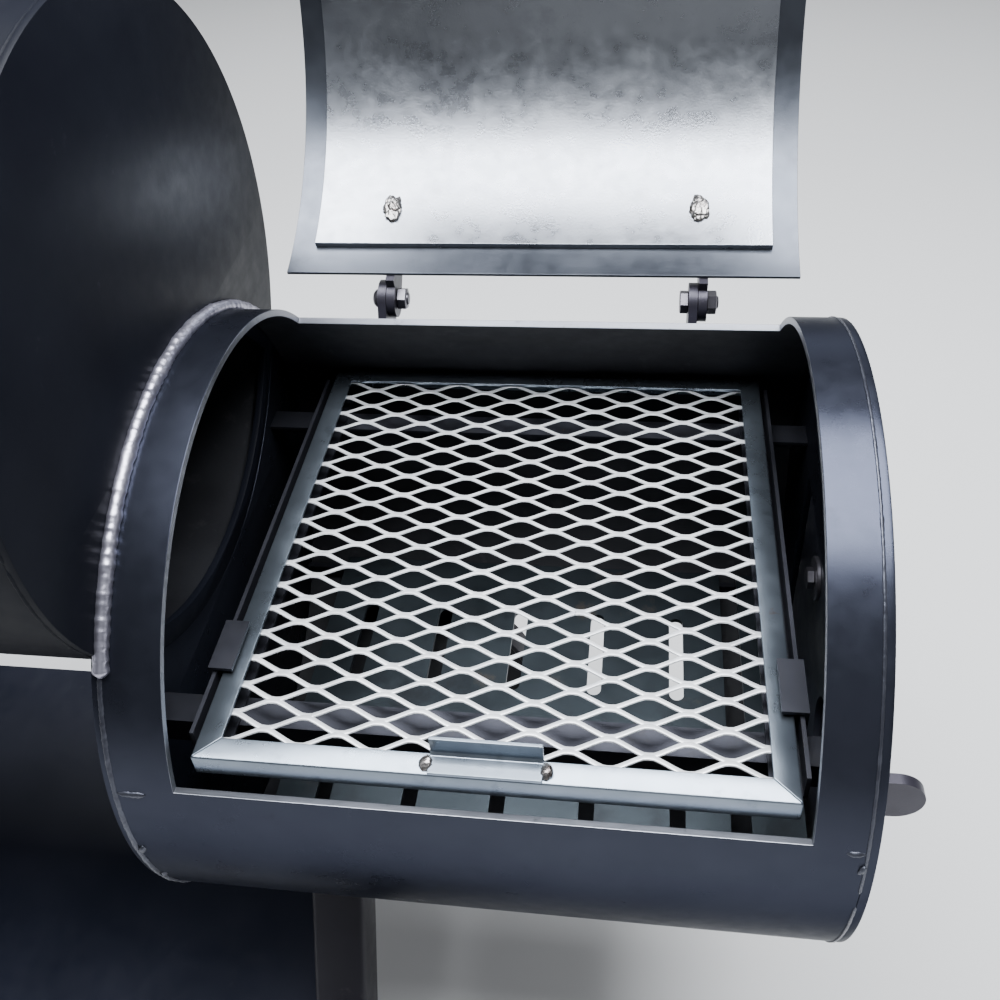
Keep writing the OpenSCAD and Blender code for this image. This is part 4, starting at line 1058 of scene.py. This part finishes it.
def leg_set(kind, place, x, axis_z, lean, foot, tie_x, node_name, plates):
    bm, beads = bmesh.new(), bmesh.new()
    tie_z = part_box("shelf")[0].z / MM
    half = (axis_z - tie_z - 3) * math.tan(math.radians(lean)) + 20
    for side in (1, -1):
        rim = leg(bm, x, axis_z, side, lean, foot)
        weld(beads, rim + [rim[0]], 3.2, 50 + side + x * 0.01, 0.8, 0.2, 5)
        if plates:
            y = axis_z * math.tan(math.radians(lean)) * side
            box(bm, (x - PAD_HALF, y - PAD_HALF, 0), (x + PAD_HALF, y + PAD_HALF, PAD_T))
            y = (axis_z - PAD_T) * math.tan(math.radians(lean)) * side
            v, w = LEG_HALF + 1.5, LEG_HALF / math.cos(math.radians(lean)) + 1
            turns = ((-1, -1), (1, -1), (1, 1), (-1, 1), (-1, -1))
            ring = [(x + i * v, y + j * w, PAD_T + 1) for i, j in turns]
            weld(beads, ring, 2.6, 60 + side, 0.8, 0.2, 5)
    box(bm, (tie_x, -half, tie_z - 25), (tie_x + 3, half, tie_z))
    piece(kind + "_tubes", bm, place, [stand_paint], node_name, 0.5)
    piece(kind + "_welds", beads, place, [stand_paint], node_name, angle=70, replace=False)


fire_leg_x = ((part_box("axle")[0].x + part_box("axle")[1].x) / 2 - WELD_X) / MM
cook_leg_x = (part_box("chamber_legs")[0].x - WELD_X) / MM + 40
leg_set("firebox_leg", STAND, fire_leg_x, FIRE_Z / MM, FIRE_LEAN, 97, fire_leg_x - LEG_HALF - 2,
        "firebox_legs", False)
leg_set("chamber_leg", STAND @ Matrix.Translation((0, BACK, 0)), cook_leg_x, CHAMBER_Z / MM, COOK_LEAN,
        PAD_T - 1, cook_leg_x + LEG_HALF - 1, "chamber_legs", True)
keep("shelf", shelf_paint, 0.5)


def wheel_piece(side, node_name):
    low, high = (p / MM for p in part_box(node_name))
    r, wide = (high.z - low.z) / 2, high.y - low.y
    centre = Vector(((low.x + high.x) / 2, low.y if side > 0 else high.y, (low.z + high.z) / 2))
    mid = wide / 2
    bm = bmesh.new()
    lathe(bm, [(10.07, 0), (23, 0), (24, 1), (24, mid - 6), (27, mid - 3), (60, mid - 2.6), (70, mid - 5.5),
               (104, mid - 5.5), (112, mid - 3), (117, mid - 4), (119, mid - 7), (119, 3), (121, 1), (124, 0.2),
               (r - 1, 0.2), (r, 1.4), (r, wide - 1.4), (r - 1, wide - 0.2), (124, wide - 0.2), (121, wide - 1),
               (119, wide - 3), (119, mid + 3), (117, mid + 1), (112, mid + 3), (104, mid + 0.5),
               (70, mid + 0.5), (60, mid + 3), (27, mid + 3), (24, mid + 6), (24, wide - 1), (23, wide),
               (10.07, wide)],
          centre, (0, side, 0), 128)
    piece(node_name + "_disc", bm, WORLD, [stand_paint], node_name, angle=30)


wheel_piece(-1, "wheels_front")
wheel_piece(1, "wheels_back")


def axle_piece():
    low, high = (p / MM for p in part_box("axle"))
    x, z = (low.x + high.x) / 2, (low.z + high.z) / 2
    bm = bmesh.new()
    for y, d in ((low.y, -1), (high.y, 1)):
        inner = (low.y + high.y) / 2 + d * STUB_IN
        rod(bm, (x, inner, z), (x, y - d * 6, z), AXLE_R, 1, 40)
        hexagon(bm, (x, inner, z), (0, -d, 0), 26, 8)
        lathe(bm, [(0, 0), (12, 0), (15, 1.2), (16, 3.5), (16, 12), (10, 12), (0, 12)], (x, y, z), (0, -d, 0))
        hexagon(bm, (x, y + d * -0.5, z), (0, -d, 0), 13, 2)
    piece("axle_rod", bm, WORLD, [fastener], "axle", angle=30)


axle_piece()
